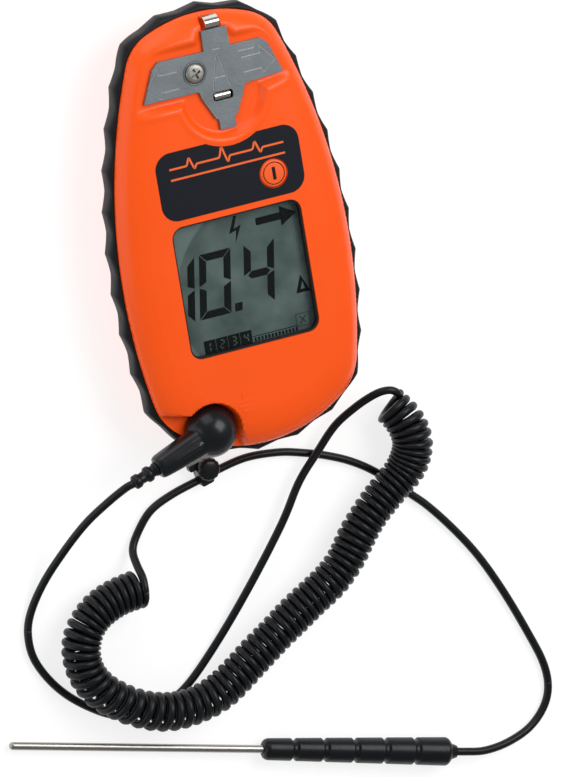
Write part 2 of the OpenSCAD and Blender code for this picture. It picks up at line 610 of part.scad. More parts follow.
// [point of the winding, direction outwards from the coil's axis]
function coil_at(share) =
  let (s = share * coil_len,
       t = unit(on_axis(min(coil_len, s + 3)) - on_axis(max(0, s - 3))),
       e1 = unit([0, 0, 1] - t[2] * t),
       e2 = cross(e1, t),
       a = coil_start + (360 * coil_turns - coil_start) * lookup(share, coil_wind),
       outwards = cos(a) * e1 + sin(a) * e2)
  [on_axis(s) + coil_r(share) * outwards, outwards];
module coil_cord() color(black) {
  n = coil_turns * coil_steps;
  winding = [for (i = [0 : n]) coil_at(i / n)];
  points = [for (w = winding) w[0]];
  skin([for (i = [0 : n])
    circle_ring(points[i], tangent(points, i), winding[i][1], coil_wire_d / 2, 5)]);
}

// ---------- earth probe ----------
handle_len = 74;
end_len = 1.62;          // tapered end of the handle
function handle_r(x) = 5.35 - 1.3 * x / handle_len;
// frame with Z along the probe, from the cable end of the handle to the tip
module probe_frame() translate([57.6, -218.3, 5.45]) rotate([0, 0, 165.05])
  rotate([0, 90 + 1.05, 0]) children();
module probe_handle() color(black) probe_frame() difference() {
  union() {
    translate([0, 0, 1.6])
      cylinder(r1 = handle_r(0), r2 = handle_r(handle_len), h = handle_len - 3.2);
    cylinder(r1 = 3.9, r2 = handle_r(0), h = end_len);
    translate([0, 0, handle_len - end_len])
      cylinder(r1 = handle_r(handle_len), r2 = 2.9, h = end_len);
  }
  // grip grooves
  for (z = [14 : 12 : 62]) translate([0, 0, z - 1.1]) difference() {
    cylinder(r = 8, h = 2.2);
    translate([0, 0, -1]) cylinder(r = handle_r(z) - 0.85, h = 5);
  }
  // bores of the grommet and the rod
  translate([0, 0, -1]) cylinder(r = 2.32, h = 8);
  translate([0, 0, handle_len - 30]) cylinder(r = rod_d / 2 + 0.02, h = 40);
}
module probe_grommet() color([0.05, 0.05, 0.05]) probe_frame() difference() {
  union() {
    translate([0, 0, -2.6]) cylinder(r1 = 2.3, r2 = 3.2, h = 2.5);
    translate([0, 0, -0.2]) cylinder(r = 2.28, h = 7);
  }
  translate([0, 0, -4]) cylinder(r = cable_d / 2 + 0.15, h = 14);
}
module probe_rod() color(steel) probe_frame() {
  translate([0, 0, handle_len - 29.8]) cylinder(r = rod_d / 2, h = rod_len + 28.6);
  // rounded tip
  translate([0, 0, handle_len + rod_len - 1.25]) intersection() {
    sphere(r = rod_d / 2);
    cylinder(r = 4, h = 4);
  }
}

front_cover();
rear_cover();
grip_band();
case_seal();
face_label();
lcd_window();
lcd_panel();
lcd_bezel();
zebra_strip();
main_board();
board_components();
tactile_switch();
sense_coil();
contact_plate();
contact_screw();
contact_strip();
contact_insert();
earth_socket();
socket_wire();
battery();
battery_snap();
battery_wires();
battery_pad();
case_screws();
rear_label();
battery_door();
power_button();
switch_plunger();
plug_pin();
plug_spring();
plug_housing();
plug_boot();
plug_cable();
coil_cord();
probe_cable();
cable_clip();
probe_handle();
probe_grommet();
probe_rod();
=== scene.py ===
"""Handheld tester with a plug-in lead, a coiled cord and a hand-held probe.

The case lies on its back: +X is its right, +Y its contact plate end, +Z comes out of its face.
The plug sits in the face near its lower left corner; cord and probe lie on the floor towards -Y.
Lengths are in millimetres unless noted, and become metres when a mesh is made.
"""
import bpy
import bmesh
import math
import numpy as np
from mathutils import Vector, Matrix


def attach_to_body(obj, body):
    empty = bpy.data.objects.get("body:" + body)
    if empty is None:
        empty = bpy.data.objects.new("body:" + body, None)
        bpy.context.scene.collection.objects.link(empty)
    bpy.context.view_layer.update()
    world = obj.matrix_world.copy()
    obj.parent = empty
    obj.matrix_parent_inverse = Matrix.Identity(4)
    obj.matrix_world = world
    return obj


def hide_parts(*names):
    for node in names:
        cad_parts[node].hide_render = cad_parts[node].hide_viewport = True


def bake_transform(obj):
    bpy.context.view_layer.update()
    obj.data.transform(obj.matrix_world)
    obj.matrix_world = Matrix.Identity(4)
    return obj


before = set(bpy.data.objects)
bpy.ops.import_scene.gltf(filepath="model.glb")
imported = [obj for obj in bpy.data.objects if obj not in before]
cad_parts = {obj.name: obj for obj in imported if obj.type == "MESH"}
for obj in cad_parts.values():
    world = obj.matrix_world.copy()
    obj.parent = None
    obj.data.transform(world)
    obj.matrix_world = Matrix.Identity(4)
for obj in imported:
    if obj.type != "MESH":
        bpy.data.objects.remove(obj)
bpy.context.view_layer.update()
MM = 0.001
UP = np.array([0, 0, 1.0])
scene = bpy.context.scene


# ------------------------------------------------------------------ shader helpers
def set_inputs(tree, node, inputs):
    """Link the inputs given as sockets and set the others."""
    for key, value in inputs.items():
        if isinstance(value, bpy.types.NodeSocket):
            tree.links.new(value, node.inputs[key])
        else:
            node.inputs[key].default_value = value


def add_node(tree, kind, inputs={}, **settings):
    node = tree.nodes.new("ShaderNode" + kind)
    for key, value in settings.items():
        setattr(node, key, value)
    set_inputs(tree, node, inputs)
    return node


def noise(tree, vector, scale, detail=2.0):
    inputs = {"Vector": vector, "Scale": scale, "Detail": detail}
    return add_node(tree, "TexNoise", inputs).outputs["Fac"]


def color_ramp(tree, factor, stops):
    """Ramp between two (position, color) stops."""
    node = add_node(tree, "ValToRGB", {"Fac": factor})
    for element, (position, color) in zip(node.color_ramp.elements, stops):
        element.position = position
        element.color = (*color, 1)
    return node.outputs["Color"]


def new_material(name):
    material = bpy.data.materials.new(name)
    material.use_nodes = True
    tree = material.node_tree
    return material, tree, tree.nodes["Principled BSDF"]


def surface(name, color, rough=0.4, rough_var=0.08, metal=0.0, specular=0.35, coat=0.0,
            sheen=0.0, mottle=0.06, scale=60.0, stretch=(1, 1, 1), bump=0.15,
            bump_scale=900.0, bump_depth=0.00012, scratches=0.0, wear=0.0,
            wear_color=(0.6, 0.6, 0.6)):
    """Procedural surface: mottled color, uneven roughness, fine bumps.

    mottle is the share the color swings by, scale the noise scale of color and roughness,
    stretch the noise scale along x, y, z; bump_depth is in metres. Wear tints convex edges.
    """
    material, tree, shader = new_material(name)
    position = add_node(tree, "TexCoord").outputs["Object"]
    grain = add_node(tree, "Mapping", {"Vector": position, "Scale": stretch}).outputs["Vector"]
    color = np.array(color)
    base = add_node(tree, "MixRGB", {
        "Fac": noise(tree, grain, scale, detail=6.0),
        "Color1": (*np.clip(color * (1 - mottle), 0, 1), 1),
        "Color2": (*np.clip(color * (1 + mottle), 0, 1), 1)}).outputs[0]
    if wear > 0:
        edge_level, edge_blend = 0.62, 0.08     # pointiness where wear is half on, and its spread
        pointiness = add_node(tree, "NewGeometry").outputs["Pointiness"]
        edges = color_ramp(tree, pointiness, [(edge_level - edge_blend, (0, 0, 0)),
                                              (edge_level + edge_blend, (1, 1, 1))])
        amount = add_node(tree, "Math", {0: edges, 1: wear}, operation="MULTIPLY").outputs[0]
        base = add_node(tree, "MixRGB", {
            "Fac": amount, "Color1": base, "Color2": (*wear_color, 1)}).outputs[0]
    roughness = add_node(tree, "MapRange", {
        "Value": noise(tree, grain, scale * 2.3, detail=4.0),
        "To Min": max(0.02, rough - rough_var),
        "To Max": min(1.0, rough + rough_var)}).outputs["Result"]
    height = noise(tree, grain, bump_scale, detail=3.0)
    if scratches > 0:
        lines = add_node(tree, "Mapping", {
            "Vector": position, "Scale": (1, 14, 1), "Rotation": (0, 0, 0.5)}).outputs["Vector"]
        marks = noise(tree, lines, scale=420, detail=8)
        height = add_node(tree, "Math", {0: marks, 1: scratches, 2: height},
                          operation="MULTIPLY_ADD").outputs[0]
    bumps = add_node(tree, "Bump", {"Strength": bump, "Distance": bump_depth, "Height": height})
    set_inputs(tree, shader, {
        "Base Color": base, "Roughness": roughness, "Normal": bumps.outputs["Normal"],
        "Metallic": metal, "Specular IOR Level": specular, "Coat Weight": coat,
        "Coat Roughness": 0.12, "Sheen Weight": sheen})
    return material


def display_material():
    """Grey-green display with a painted reflection, a paler sheen, across its upper left corner.
    """
    material, tree, shader = new_material("display_glass_grey")
    position = add_node(tree, "TexCoord").outputs["Object"]
    clouds = noise(tree, position, scale=75, detail=3)
    base = color_ramp(tree, clouds, [(0.34, (0.050, 0.090, 0.083)),
                                     (0.68, (0.125, 0.185, 0.172))])
    # the painted reflection starts at an arc about a point at the lower right, in metres
    distance = add_node(tree, "VectorMath", {0: position, 1: (0.010, -0.0242, 0.0262)},
                        operation="DISTANCE").outputs["Value"]
    sheen = add_node(tree, "MapRange", {
        "Value": distance, "From Min": 0.0355, "From Max": 0.0368, "To Max": 0.8},
        interpolation_type="SMOOTHSTEP").outputs["Result"]
    # mix in the paler colour of the painted reflection
    base = add_node(tree, "MixRGB", {
        "Fac": sheen, "Color1": base, "Color2": (0.185, 0.26, 0.245, 1)}).outputs[0]
    bumps = add_node(tree, "Bump", {
        "Strength": 0.1, "Distance": 0.00003, "Height": noise(tree, position, scale=2500)})
    set_inputs(tree, shader, {
        "Base Color": base, "Normal": bumps.outputs["Normal"], "Roughness": 0.5})
    return material


def lens_material():
    material, tree, shader = new_material("window_clear")
    position = add_node(tree, "TexCoord").outputs["Object"]
    roughness = add_node(tree, "MapRange", {
        "Value": noise(tree, position, scale=300), "To Min": 0.02, "To Max": 0.07})
    set_inputs(tree, shader, {
        "Roughness": roughness.outputs["Result"], "Base Color": (0.02, 0.03, 0.027, 1),
        "Alpha": 0.10, "Specular IOR Level": 0.5})
    return material


def floor_material():
    material, tree, shader = new_material("floor_pale")
    set_inputs(tree, shader, {
        "Base Color": (0.32, 0.32, 0.32, 1), "Emission Color": (1, 1, 1, 1),
        "Emission Strength": 0.76, "Roughness": 0.8, "Specular IOR Level": 0.2})
    return material


# ------------------------------------------------------------------ materials
MATERIALS = {
    "orange": surface(
        "orange_moulded", (0.97, 0.092, 0.003), rough=0.34, rough_var=0.06, specular=0.26,
        coat=0.12, mottle=0.045, scale=35, bump=0.10, bump_scale=1400, bump_depth=0.00006,
        wear=0.15, wear_color=(1.0, 0.16, 0.03)),
    "orange_matt": surface(
        "orange_button_face", (0.90, 0.11, 0.012), rough=0.42, coat=0.1, mottle=0.05,
        scale=220, bump=0.2, bump_scale=2200, bump_depth=0.00005),
    "band": surface(
        "band_elastomer", (0.005, 0.006, 0.008), rough=0.52, rough_var=0.12, specular=0.24,
        sheen=0.05, mottle=0.25, scale=120, bump=0.35, bump_scale=1500, bump_depth=0.0001,
        wear=0.35, wear_color=(0.05, 0.053, 0.06)),
    "plug": surface(
        "plug_moulded_black", (0.005, 0.006, 0.008), rough=0.32, specular=0.3, coat=0.15,
        mottle=0.2, scale=90, bump=0.18, bump_scale=1300, bump_depth=0.00008,
        wear=0.2, wear_color=(0.05, 0.05, 0.055)),
    "cable": surface(
        "cable_jacket", (0.004, 0.005, 0.007), rough=0.38, rough_var=0.1, specular=0.28,
        coat=0.02, mottle=0.25, scale=140, bump=0.2, bump_scale=1800, bump_depth=0.00006,
        wear=0.2, wear_color=(0.045, 0.045, 0.05)),
    "handle": surface(
        "handle_moulded", (0.004, 0.005, 0.007), rough=0.38, rough_var=0.1, specular=0.26,
        coat=0.08, mottle=0.22, scale=110, bump=0.3, bump_scale=1500, bump_depth=0.0001,
        wear=0.25, wear_color=(0.05, 0.05, 0.055)),
    "label": surface(
        "label_print", (0.006, 0.008, 0.014), rough=0.45, specular=0.2, mottle=0.16,
        scale=150, bump=0.12, bump_scale=2600, bump_depth=0.00004),
    "print": surface(
        "label_ink_orange", (0.86, 0.13, 0.02), rough=0.45, mottle=0.06, scale=300,
        bump=0.1, bump_scale=2600, bump_depth=0.00003),
    "border": surface(
        "window_border_black", (0.010, 0.011, 0.012), rough=0.5, specular=0.3, mottle=0.2,
        scale=300, bump=0.15),
    "faint": surface(
        "display_segment_faint", (0.045, 0.06, 0.055), rough=0.5, specular=0.2, mottle=0.2,
        scale=300, bump=0.05),
    "engraved": surface(
        "plate_engraved", (0.42, 0.44, 0.45), rough=0.3, metal=0.8, mottle=0.15, scale=300,
        bump=0.2),
    "segment": surface(
        "display_segment", (0.0035, 0.0045, 0.0045), rough=0.5, specular=0.08, mottle=0.2,
        scale=300, bump=0.05, bump_scale=2000, bump_depth=0.00002),
    "plate": surface(
        "plate_stamped", (0.205, 0.230, 0.245), rough=0.42, rough_var=0.12, metal=0.65,
        mottle=0.3, scale=110, bump=0.55, bump_depth=0.00008, scratches=0.8),
    "nickel": surface(
        "nickel_bright", (0.74, 0.70, 0.64), rough=0.2, metal=1.0, mottle=0.08, scale=160,
        bump=0.15, bump_scale=700, bump_depth=0.00006, scratches=0.4),
    "screw": surface(
        "screw_plated", (0.40, 0.395, 0.36), rough=0.48, rough_var=0.12, metal=1.0,
        mottle=0.14, scale=300, bump=0.3, bump_depth=0.00006, scratches=0.5, wear=0.3),
    "steel": surface(
        "rod_polished", (0.42, 0.41, 0.385), rough=0.34, metal=1.0, mottle=0.10, scale=120,
        stretch=(0.3, 1, 1), bump=0.2, bump_scale=600, bump_depth=0.00005, scratches=0.6),
    "brass": surface(
        "brass_turned", (0.60, 0.42, 0.16), rough=0.3, metal=1.0, mottle=0.1, scale=200,
        bump=0.2),
    "board": surface(
        "board_mask", (0.012, 0.10, 0.035), rough=0.35, mottle=0.2, scale=400, bump=0.3,
        bump_scale=1200),
    "black": surface(
        "plastic_black", (0.02, 0.02, 0.022), rough=0.5, mottle=0.2, scale=200, bump=0.3),
    "white": surface(
        "plastic_natural", (0.72, 0.72, 0.69), rough=0.5, mottle=0.05, scale=120, bump=0.2),
    "zebra": surface(
        "zebra_elastomer", (0.55, 0.2, 0.24), rough=0.6, mottle=0.25, scale=900,
        stretch=(8, 1, 1), bump=0.3),
    "copper": surface(
        "copper_enamel", (0.45, 0.16, 0.05), rough=0.3, metal=1.0, mottle=0.15, scale=600,
        stretch=(9, 1, 1), bump=0.4),
    "red": surface(
        "wire_red", (0.42, 0.015, 0.012), rough=0.45, mottle=0.1, scale=200, bump=0.2),
    "battery": surface(
        "battery_wrap", (0.03, 0.035, 0.05), rough=0.3, metal=0.3, mottle=0.15, scale=80,
        bump=0.15, scratches=0.3),
    "foam": surface(
        "foam_cells", (0.05, 0.05, 0.055), rough=0.9, mottle=0.3, scale=1500, bump=0.9,
        bump_scale=2500, bump_depth=0.0003),
    "paper": surface(
        "rating_label", (0.62, 0.62, 0.60), rough=0.55, mottle=0.04, scale=200, bump=0.15,
        bump_scale=3000),
    "seal": surface(
        "seal_elastomer", (0.02, 0.02, 0.022), rough=0.7, mottle=0.2, scale=200, bump=0.3),
    "display": display_material(),
    "lens": lens_material(),
    "floor": floor_material(),
}


# ------------------------------------------------------------------ mesh helpers
def new_object(name, verts, faces, material, smooth=True):
    """Object from millimetre vertices; material is a key of MATERIALS."""
    mesh = bpy.data.meshes.new(name)
    mesh.from_pydata([tuple(float(x) * MM for x in vert) for vert in verts], [],
                     [tuple(int(i) for i in face) for face in faces])
    mesh.validate()
    mesh.materials.append(MATERIALS[material])
    if smooth:
        mesh.polygons.foreach_set("use_smooth", [True] * len(mesh.polygons))
    mesh.update()
    obj = bpy.data.objects.new(name, mesh)
    scene.collection.objects.link(obj)
    return obj


def fix_normals(obj):
    bm = bmesh.new()
    bm.from_mesh(obj.data)
    bmesh.ops.recalc_face_normals(bm, faces=bm.faces)
    bm.to_mesh(obj.data)
    bm.free()
    return obj


def skin(name, rings, material, closed=False, smooth=True):
    """Skin over rings of equal length; closed joins the last ring to the first."""
    n, count = len(rings[0]), len(rings)
    faces = []
    for k in range(count if closed else count - 1):
        a, b = k * n, ((k + 1) % count) * n
        for i in range(n):
            j = (i + 1) % n
            faces.append((a + i, a + j, b + j, b + i))
    if not closed:
        faces.append(tuple(range(n - 1, -1, -1)))
        faces.append(tuple((count - 1) * n + i for i in range(n)))
    verts = np.concatenate([np.asarray(ring, float) for ring in rings])
    return fix_normals(new_object(name, verts, faces, material, smooth))


def level(points, z):
    """Lift plan points to height z."""
    points = np.asarray(points, float)
    return np.c_[points, np.full(len(points), z)]


def prism(name, points, z0, z1, material):
    return skin(name, [level(points, z0), level(points, z1)], material, smooth=False)


def cutter(points, z0, z1, material="black"):
    return prism("cutter", points, z0, z1, material)


def revolve(name, profile, material, origin, rotation=np.eye(3), n=64):
    """Turn an (r, z) profile, starting and ending on the axis, about z."""
    verts, faces, rows = [], [], []
    for r, z in profile:
        start = len(verts)
        if r < 1e-6:
            verts.append((0, 0, z))
        else:
            for i in range(n):
                angle = 2 * math.pi * i / n
                verts.append((r * math.cos(angle), r * math.sin(angle), z))
        rows.append(list(range(start, len(verts))))
    for a, b in zip(rows[:-1], rows[1:]):
        for i in range(n):
            j = (i + 1) % n
            if len(a) == 1:
                faces.append((a[0], b[i], b[j]))
            elif len(b) == 1:
                faces.append((a[i], a[j], b[0]))
            else:
                faces.append((a[i], a[j], b[j], b[i]))
    verts = np.array(verts, float) @ rotation.T + np.array(origin, float)
    return fix_normals(new_object(name, verts, faces, material))


def apply_modifiers(obj):
    bpy.context.view_layer.update()
    graph = bpy.context.evaluated_depsgraph_get()
    mesh = bpy.data.meshes.new_from_object(obj.evaluated_get(graph))
    old = obj.data
    obj.modifiers.clear()
    obj.data = mesh
    mesh.name = obj.name
    bpy.data.meshes.remove(old)


def cut(obj, tools, operation="DIFFERENCE", transfer=False):
    """Boolean the tools one by one; transfer brings their material onto the new faces."""
    for tool in tools:
        modifier = obj.modifiers.new("cut", "BOOLEAN")
        modifier.operation = operation
        modifier.object = tool
        modifier.solver = "EXACT"
        modifier.material_mode = "TRANSFER" if transfer else "INDEX"
        apply_modifiers(obj)
        bpy.data.objects.remove(tool)


def sharpen(obj, degrees):
    """Smooth faces, with sharp edges where the angle is above the limit."""
    bm = bmesh.new()
    bm.from_mesh(obj.data)
    limit = math.radians(degrees)
    for edge in bm.edges:
        edge.smooth = not (len(edge.link_faces) == 2 and edge.calc_face_angle(0) > limit)
    for face in bm.faces:
        face.smooth = True
    bm.to_mesh(obj.data)
    bm.free()


def dress(node):
    """The CAD node a piece stands in for."""
    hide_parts(node)


def attach(obj, part, node):
    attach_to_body(obj, part)
    dress(node)


# ------------------------------------------------------------------ plan shapes
def box(x0, y0, x1, y1):
    return [(x0, y0), (x1, y0), (x1, y1), (x0, y1)]


def moved(points, dx, dy):
    return [(x + dx, y + dy) for x, y in points]


def turned(points, centre, degrees):
    """Turn points about the origin, then move the origin to centre."""
    c, s = math.cos(math.radians(degrees)), math.sin(math.radians(degrees))
    return [(centre[0] + x * c - y * s, centre[1] + x * s + y * c) for x, y in points]


def round_rect(cx, cy, w, h, r, n=10):
    """Rectangle with n steps round each corner."""
    points = []
    for sx, sy, start in ((1, 1, 0), (-1, 1, 90), (-1, -1, 180), (1, -1, 270)):
        for i in range(n + 1):
            angle = math.radians(start + 90 * i / n)
            points.append((cx + sx * (w / 2 - r) + r * math.cos(angle),
                           cy + sy * (h / 2 - r) + r * math.sin(angle)))
    return points


def turn(n):
    """n angles evenly round a turn."""
    return 2 * np.pi * np.arange(n) / n


def circle(cx, cy, r, n=64):
    return np.c_[cx + r * np.cos(turn(n)), cy + r * np.sin(turn(n))]


def fillet(profile, r, n):
    """Round the corners of an (r, z) profile, each with n steps."""
    points = [np.array(point, float) for point in profile]
    rounded = [points[0]]
    for before, corner, after in zip(points[:-2], points[1:-1], points[2:]):
        u, v = before - corner, after - corner
        u_length, v_length = np.linalg.norm(u), np.linalg.norm(v)
        reach = min(r, u_length * 0.45, v_length * 0.45)
        p = corner + u / u_length * reach
        q = corner + v / v_length * reach
        for i in range(n + 1):
            t = i / n
            rounded.append((1 - t) ** 2 * p + 2 * t * (1 - t) * corner + t * t * q)
    rounded.append(points[-1])
    return [tuple(point) for point in rounded]


# ------------------------------------------------------------------ curves and distances
def unit(vectors):
    return vectors / np.linalg.norm(vectors, axis=-1, keepdims=True)


def directions(path):
    return unit(np.gradient(path, axis=0))


def square_to(vectors, tangents):
    """Unit parts of the vectors square to the tangents."""
    return unit(vectors - (vectors * tangents).sum(1, keepdims=True) * tangents)


def run_lengths(path):
    return np.r_[0, np.cumsum(np.linalg.norm(np.diff(path, axis=0), axis=1))]


def interpolate(at, stations, values):
    return np.stack([np.interp(at, stations, column) for column in values.T], 1)


def monotone(x, xs, ys):
    """Monotone cubic through the points (xs, ys)."""
    xs, ys = np.asarray(xs, float), np.asarray(ys, float)
    h = np.diff(xs)
    d = np.diff(ys) / h
    m = np.zeros(len(xs))
    m[0], m[-1] = d[0], d[-1]
    for i in range(1, len(xs) - 1):
        m[i] = 0 if d[i - 1] * d[i] <= 0 else 2 / (1 / d[i - 1] + 1 / d[i])
    x = np.clip(x, xs[0], xs[-1])
    k = np.clip(np.searchsorted(xs, x) - 1, 0, len(h) - 1)
    t = (x - xs[k]) / h[k]
    return ((2 * t**3 - 3 * t**2 + 1) * ys[k] + (t**3 - 2 * t**2 + t) * h[k] * m[k]
            + (-2 * t**3 + 3 * t**2) * ys[k + 1] + (t**3 - t**2) * h[k] * m[k + 1])


def smooth_step(x, a, b):
    t = np.clip((x - a) / (b - a), 0, 1)
    return t * t * (3 - 2 * t)


def segment_distance(points, a, b):
    d = b - a
    t = np.clip(((points - a) @ d) / (d @ d), 0, 1)
    return np.linalg.norm(points - (a + t[:, None] * d), axis=1)


def polygon_distance(points, polygon):
    """Distance to the polygon's edge, negative inside it."""
    polygon = np.asarray(polygon, float)
    distance = np.full(len(points), 1e9)
    inside = np.zeros(len(points), bool)
    for a, b in zip(polygon, np.roll(polygon, -1, 0)):
        distance = np.minimum(distance, segment_distance(points, a, b))
        spans = (a[1] > points[:, 1]) != (b[1] > points[:, 1])
        # edges along x divide by zero, but never span a point
        with np.errstate(divide="ignore", invalid="ignore"):
            crossing = (b[0] - a[0]) * (points[:, 1] - a[1]) / (b[1] - a[1]) + a[0]
        inside ^= spans & (points[:, 0] < crossing)
    return np.where(inside, -distance, distance)


def catmull(stations, steps):
    """Catmull-Rom curve through the stations."""
    p = np.asarray(stations, float)
    p = np.vstack([2 * p[0] - p[1], p, 2 * p[-1] - p[-2]])
    curve = []
    for p0, p1, p2, p3 in zip(p[:-3], p[1:-2], p[2:-1], p[3:]):
        for j in range(steps):
            t = j / steps
            curve.append(0.5 * (2 * p1 + (p2 - p0) * t
                                + (2 * p0 - 5 * p1 + 4 * p2 - p3) * t * t
                                + (3 * p1 - p0 - 3 * p2 + p3) * t**3))
    curve.append(p[-2])
    return np.array(curve)


def resample(path, n):
    stations = run_lengths(path)
    return interpolate(np.linspace(0, stations[-1], n), stations, path)


def relax(path, rounds):
    path = path.copy()
    for _ in range(rounds):
        path[1:-1] = 0.25 * path[:-2] + 0.5 * path[1:-1] + 0.25 * path[2:]
    return path


def tube_rings(path, radii, sides):
    tangents = directions(path)
    first = square_to(np.array([0.03, 0.02, 1.0]), tangents)
    second = np.cross(tangents, first)
    cos, sin = np.cos(turn(sides))[:, None], np.sin(turn(sides))[:, None]
    return [p + r * (cos * a + sin * b) for p, r, a, b in zip(path, radii, first, second)]


# ------------------------------------------------------------------ case outline
CASE_LENGTH = 162.0
HALF_WIDTH = 44.6
WIDEST_Y = -13.0
SIDE_R, TOP_R, BOTTOM_R = 222.0, 52.0, 54.0
TOP_CORNER_R, BOTTOM_CORNER_R = 17.0, 21.0


def circles_meet(p, p_radius, q, q_radius, side):
    """Meeting point of two circles: the one at greater y for side 1, at lesser y for -1."""
    d = np.linalg.norm(q - p)
    a = (p_radius**2 - q_radius**2 + d * d) / (2 * d)
    h = math.sqrt(p_radius**2 - a * a)
    middle = p + (q - p) * a / d
    across = np.array([-(q - p)[1], (q - p)[0]]) / d
    c1, c2 = middle + across * h, middle - across * h
    return c1 if side * c1[1] > side * c2[1] else c2


def trace_outline():
    """Points and outward normals, clockwise from above, from the +Y end."""
    side = np.array([HALF_WIDTH - SIDE_R, WIDEST_Y])
    top = np.array([0, CASE_LENGTH / 2 - TOP_R])
    bottom = np.array([0, -CASE_LENGTH / 2 + BOTTOM_R])
    top_corner = circles_meet(side, SIDE_R - TOP_CORNER_R, top, TOP_R - TOP_CORNER_R, 1)
    bottom_corner = circles_meet(side, SIDE_R - BOTTOM_CORNER_R,
                                 bottom, BOTTOM_R - BOTTOM_CORNER_R, -1)
    joins = [top_corner - top, top_corner - side, bottom_corner - side, bottom_corner - bottom]
    angles = [90, *[math.degrees(math.atan2(v[1], v[0])) for v in joins], -90]
    centres = (top, top_corner, side, bottom_corner, bottom)
    radii = (TOP_R, TOP_CORNER_R, SIDE_R, BOTTOM_CORNER_R, BOTTOM_R)
    steps = np.linspace(0, 1, 400, endpoint=False)
    points, normals = [], []
    for centre, r, start, end in zip(centres, radii, angles[:-1], angles[1:]):
        arc = np.radians(start + (end - start) * steps)
        normals.append(np.c_[np.cos(arc), np.sin(arc)])
        points.append(centre + r * normals[-1])
    points = np.vstack(points + [[[0, -CASE_LENGTH / 2]]])
    normals = np.vstack(normals + [[[0, -1.0]]])
    return [np.vstack([half, (half * [-1, 1])[-2:0:-1], half[:1]]) for half in (points, normals)]


OUTLINE_POINTS, OUTLINE_NORMALS = trace_outline()
OUTLINE_RUN = run_lengths(OUTLINE_POINTS)


def outline(n):
    """n points evenly round the case, their outward normals and shares of the way round."""
    at = np.linspace(0, OUTLINE_RUN[-1], n, endpoint=False)
    points = interpolate(at, OUTLINE_RUN, OUTLINE_POINTS)
    normals = interpolate(at, OUTLINE_RUN, OUTLINE_NORMALS)
    return points, unit(normals), at / OUTLINE_RUN[-1]


# ------------------------------------------------------------------ places on the case
SEAM_Z = 19.0
FACE_Z = 30.4
WALL = 2.2
CASE_STEPS = 560
SOCKET = np.array([-21.3, -71.2])
SLOT = np.array([3.3, 50.2])
RIM = np.array([3.0, 51.2])          # centre of the round bay below the contact plate
WINDOW = np.array([0.0, -18.2])
WINDOW_SIZE = (51, 50)
BUTTON = np.array([17.1, 17.8])
SCREW = np.array([-6.2, 60.6])
REAR_SCREWS = [(24.5, 26), (-24.5, 26), (27, -50), (-27, -50)]

# (x, y) outlines
PLATE_SHIFT = (0.3, -1.0)
PLATE = moved([
    (-27.6, 54.6), (-22.4, 66.6), (-19.8, 68.9), (-1.8, 68.6), (-1.6, 76.2), (8.3, 76.2),
    (8.6, 68.8), (20.4, 68.8), (23, 66.4), (27.3, 54.7), (12, 53.6), (10.8, 50.4),
    (7.2, 43.2), (6.2, 42.8), (6.2, 38.9), (-0.1, 38.9), (-0.1, 42.8), (-1.2, 43.4),
    (-5.2, 51.4), (-6, 54.4)], *PLATE_SHIFT)
PLATE_POCKET = [
    (-34.2, 49.8), (-29.0, 66.0), (-24.9, 70.2), (-20.5, 72.0), (-4.6, 72.0), (-3.6, 74.2),
    (-3.4, 90), (9.8, 90), (10.1, 74.2), (11.6, 72.0), (20.6, 72.0), (24.9, 70),
    (27.6, 66.0), (32.0, 51.6), (20, 49.6), (-14, 49.6)]
PLUG_RECESS = [
    (-29.6, -63.4), (-42, -60.4), (-61, -65.4), (-61, -100), (-6, -100), (-8.8, -79.4),
    (-12.5, -65.9)]

# ------------------------------------------------------------------ front cover
# rounding of the face: distance in from the outline, height there
FACE_INSETS = [0, 0.7, 2.1, 3.9, 6.6, 9.8, 15.5, 60]
FACE_HEIGHTS = [23.4, 24.9, 26.5, 27.9, 29.1, 29.9, FACE_Z, FACE_Z]
POCKET_Z = 28.05
TROUGH_Z = 24.5
RECESS_Z = 23.25
EDGE_SAMPLES = outline(900)[0]


def face_height(points):
    d = points[:, None, :] - EDGE_SAMPLES[None]
    inset = np.sqrt((d * d).sum(2)).min(1)
    z = monotone(inset, FACE_INSETS, FACE_HEIGHTS)

    def sink(z, share, floor_z):
        return z * (1 - share) + np.minimum(z, floor_z) * share

    # pocket of the contact plate: soft wall, low lip outside it
    pocket = np.minimum(polygon_distance(points, PLATE_POCKET),
                        np.linalg.norm(points - RIM, axis=1) - 16.4)
    z = sink(z, smooth_step(-pocket, -0.6, 2.2), POCKET_Z)
    z = z + 0.22 * np.exp(-((pocket - 1.5) / 1.1) ** 2) * smooth_step(inset, 2, 8)
    # trough of the strip
    trough = (smooth_step(3.5 - np.abs(points[:, 0] - SLOT[0]), 0, 0.35)
              * smooth_step(points[:, 1], 74.3, 74.9))
    z = sink(z, trough, TROUGH_Z)
    # plug recess: a round seat that fans out to the edge
    recess = np.minimum(np.linalg.norm(points - SOCKET, axis=1) - 10.6,
                        polygon_distance(points, PLUG_RECESS))
    return sink(z, smooth_step(-recess, -0.5, 1.1), RECESS_Z)


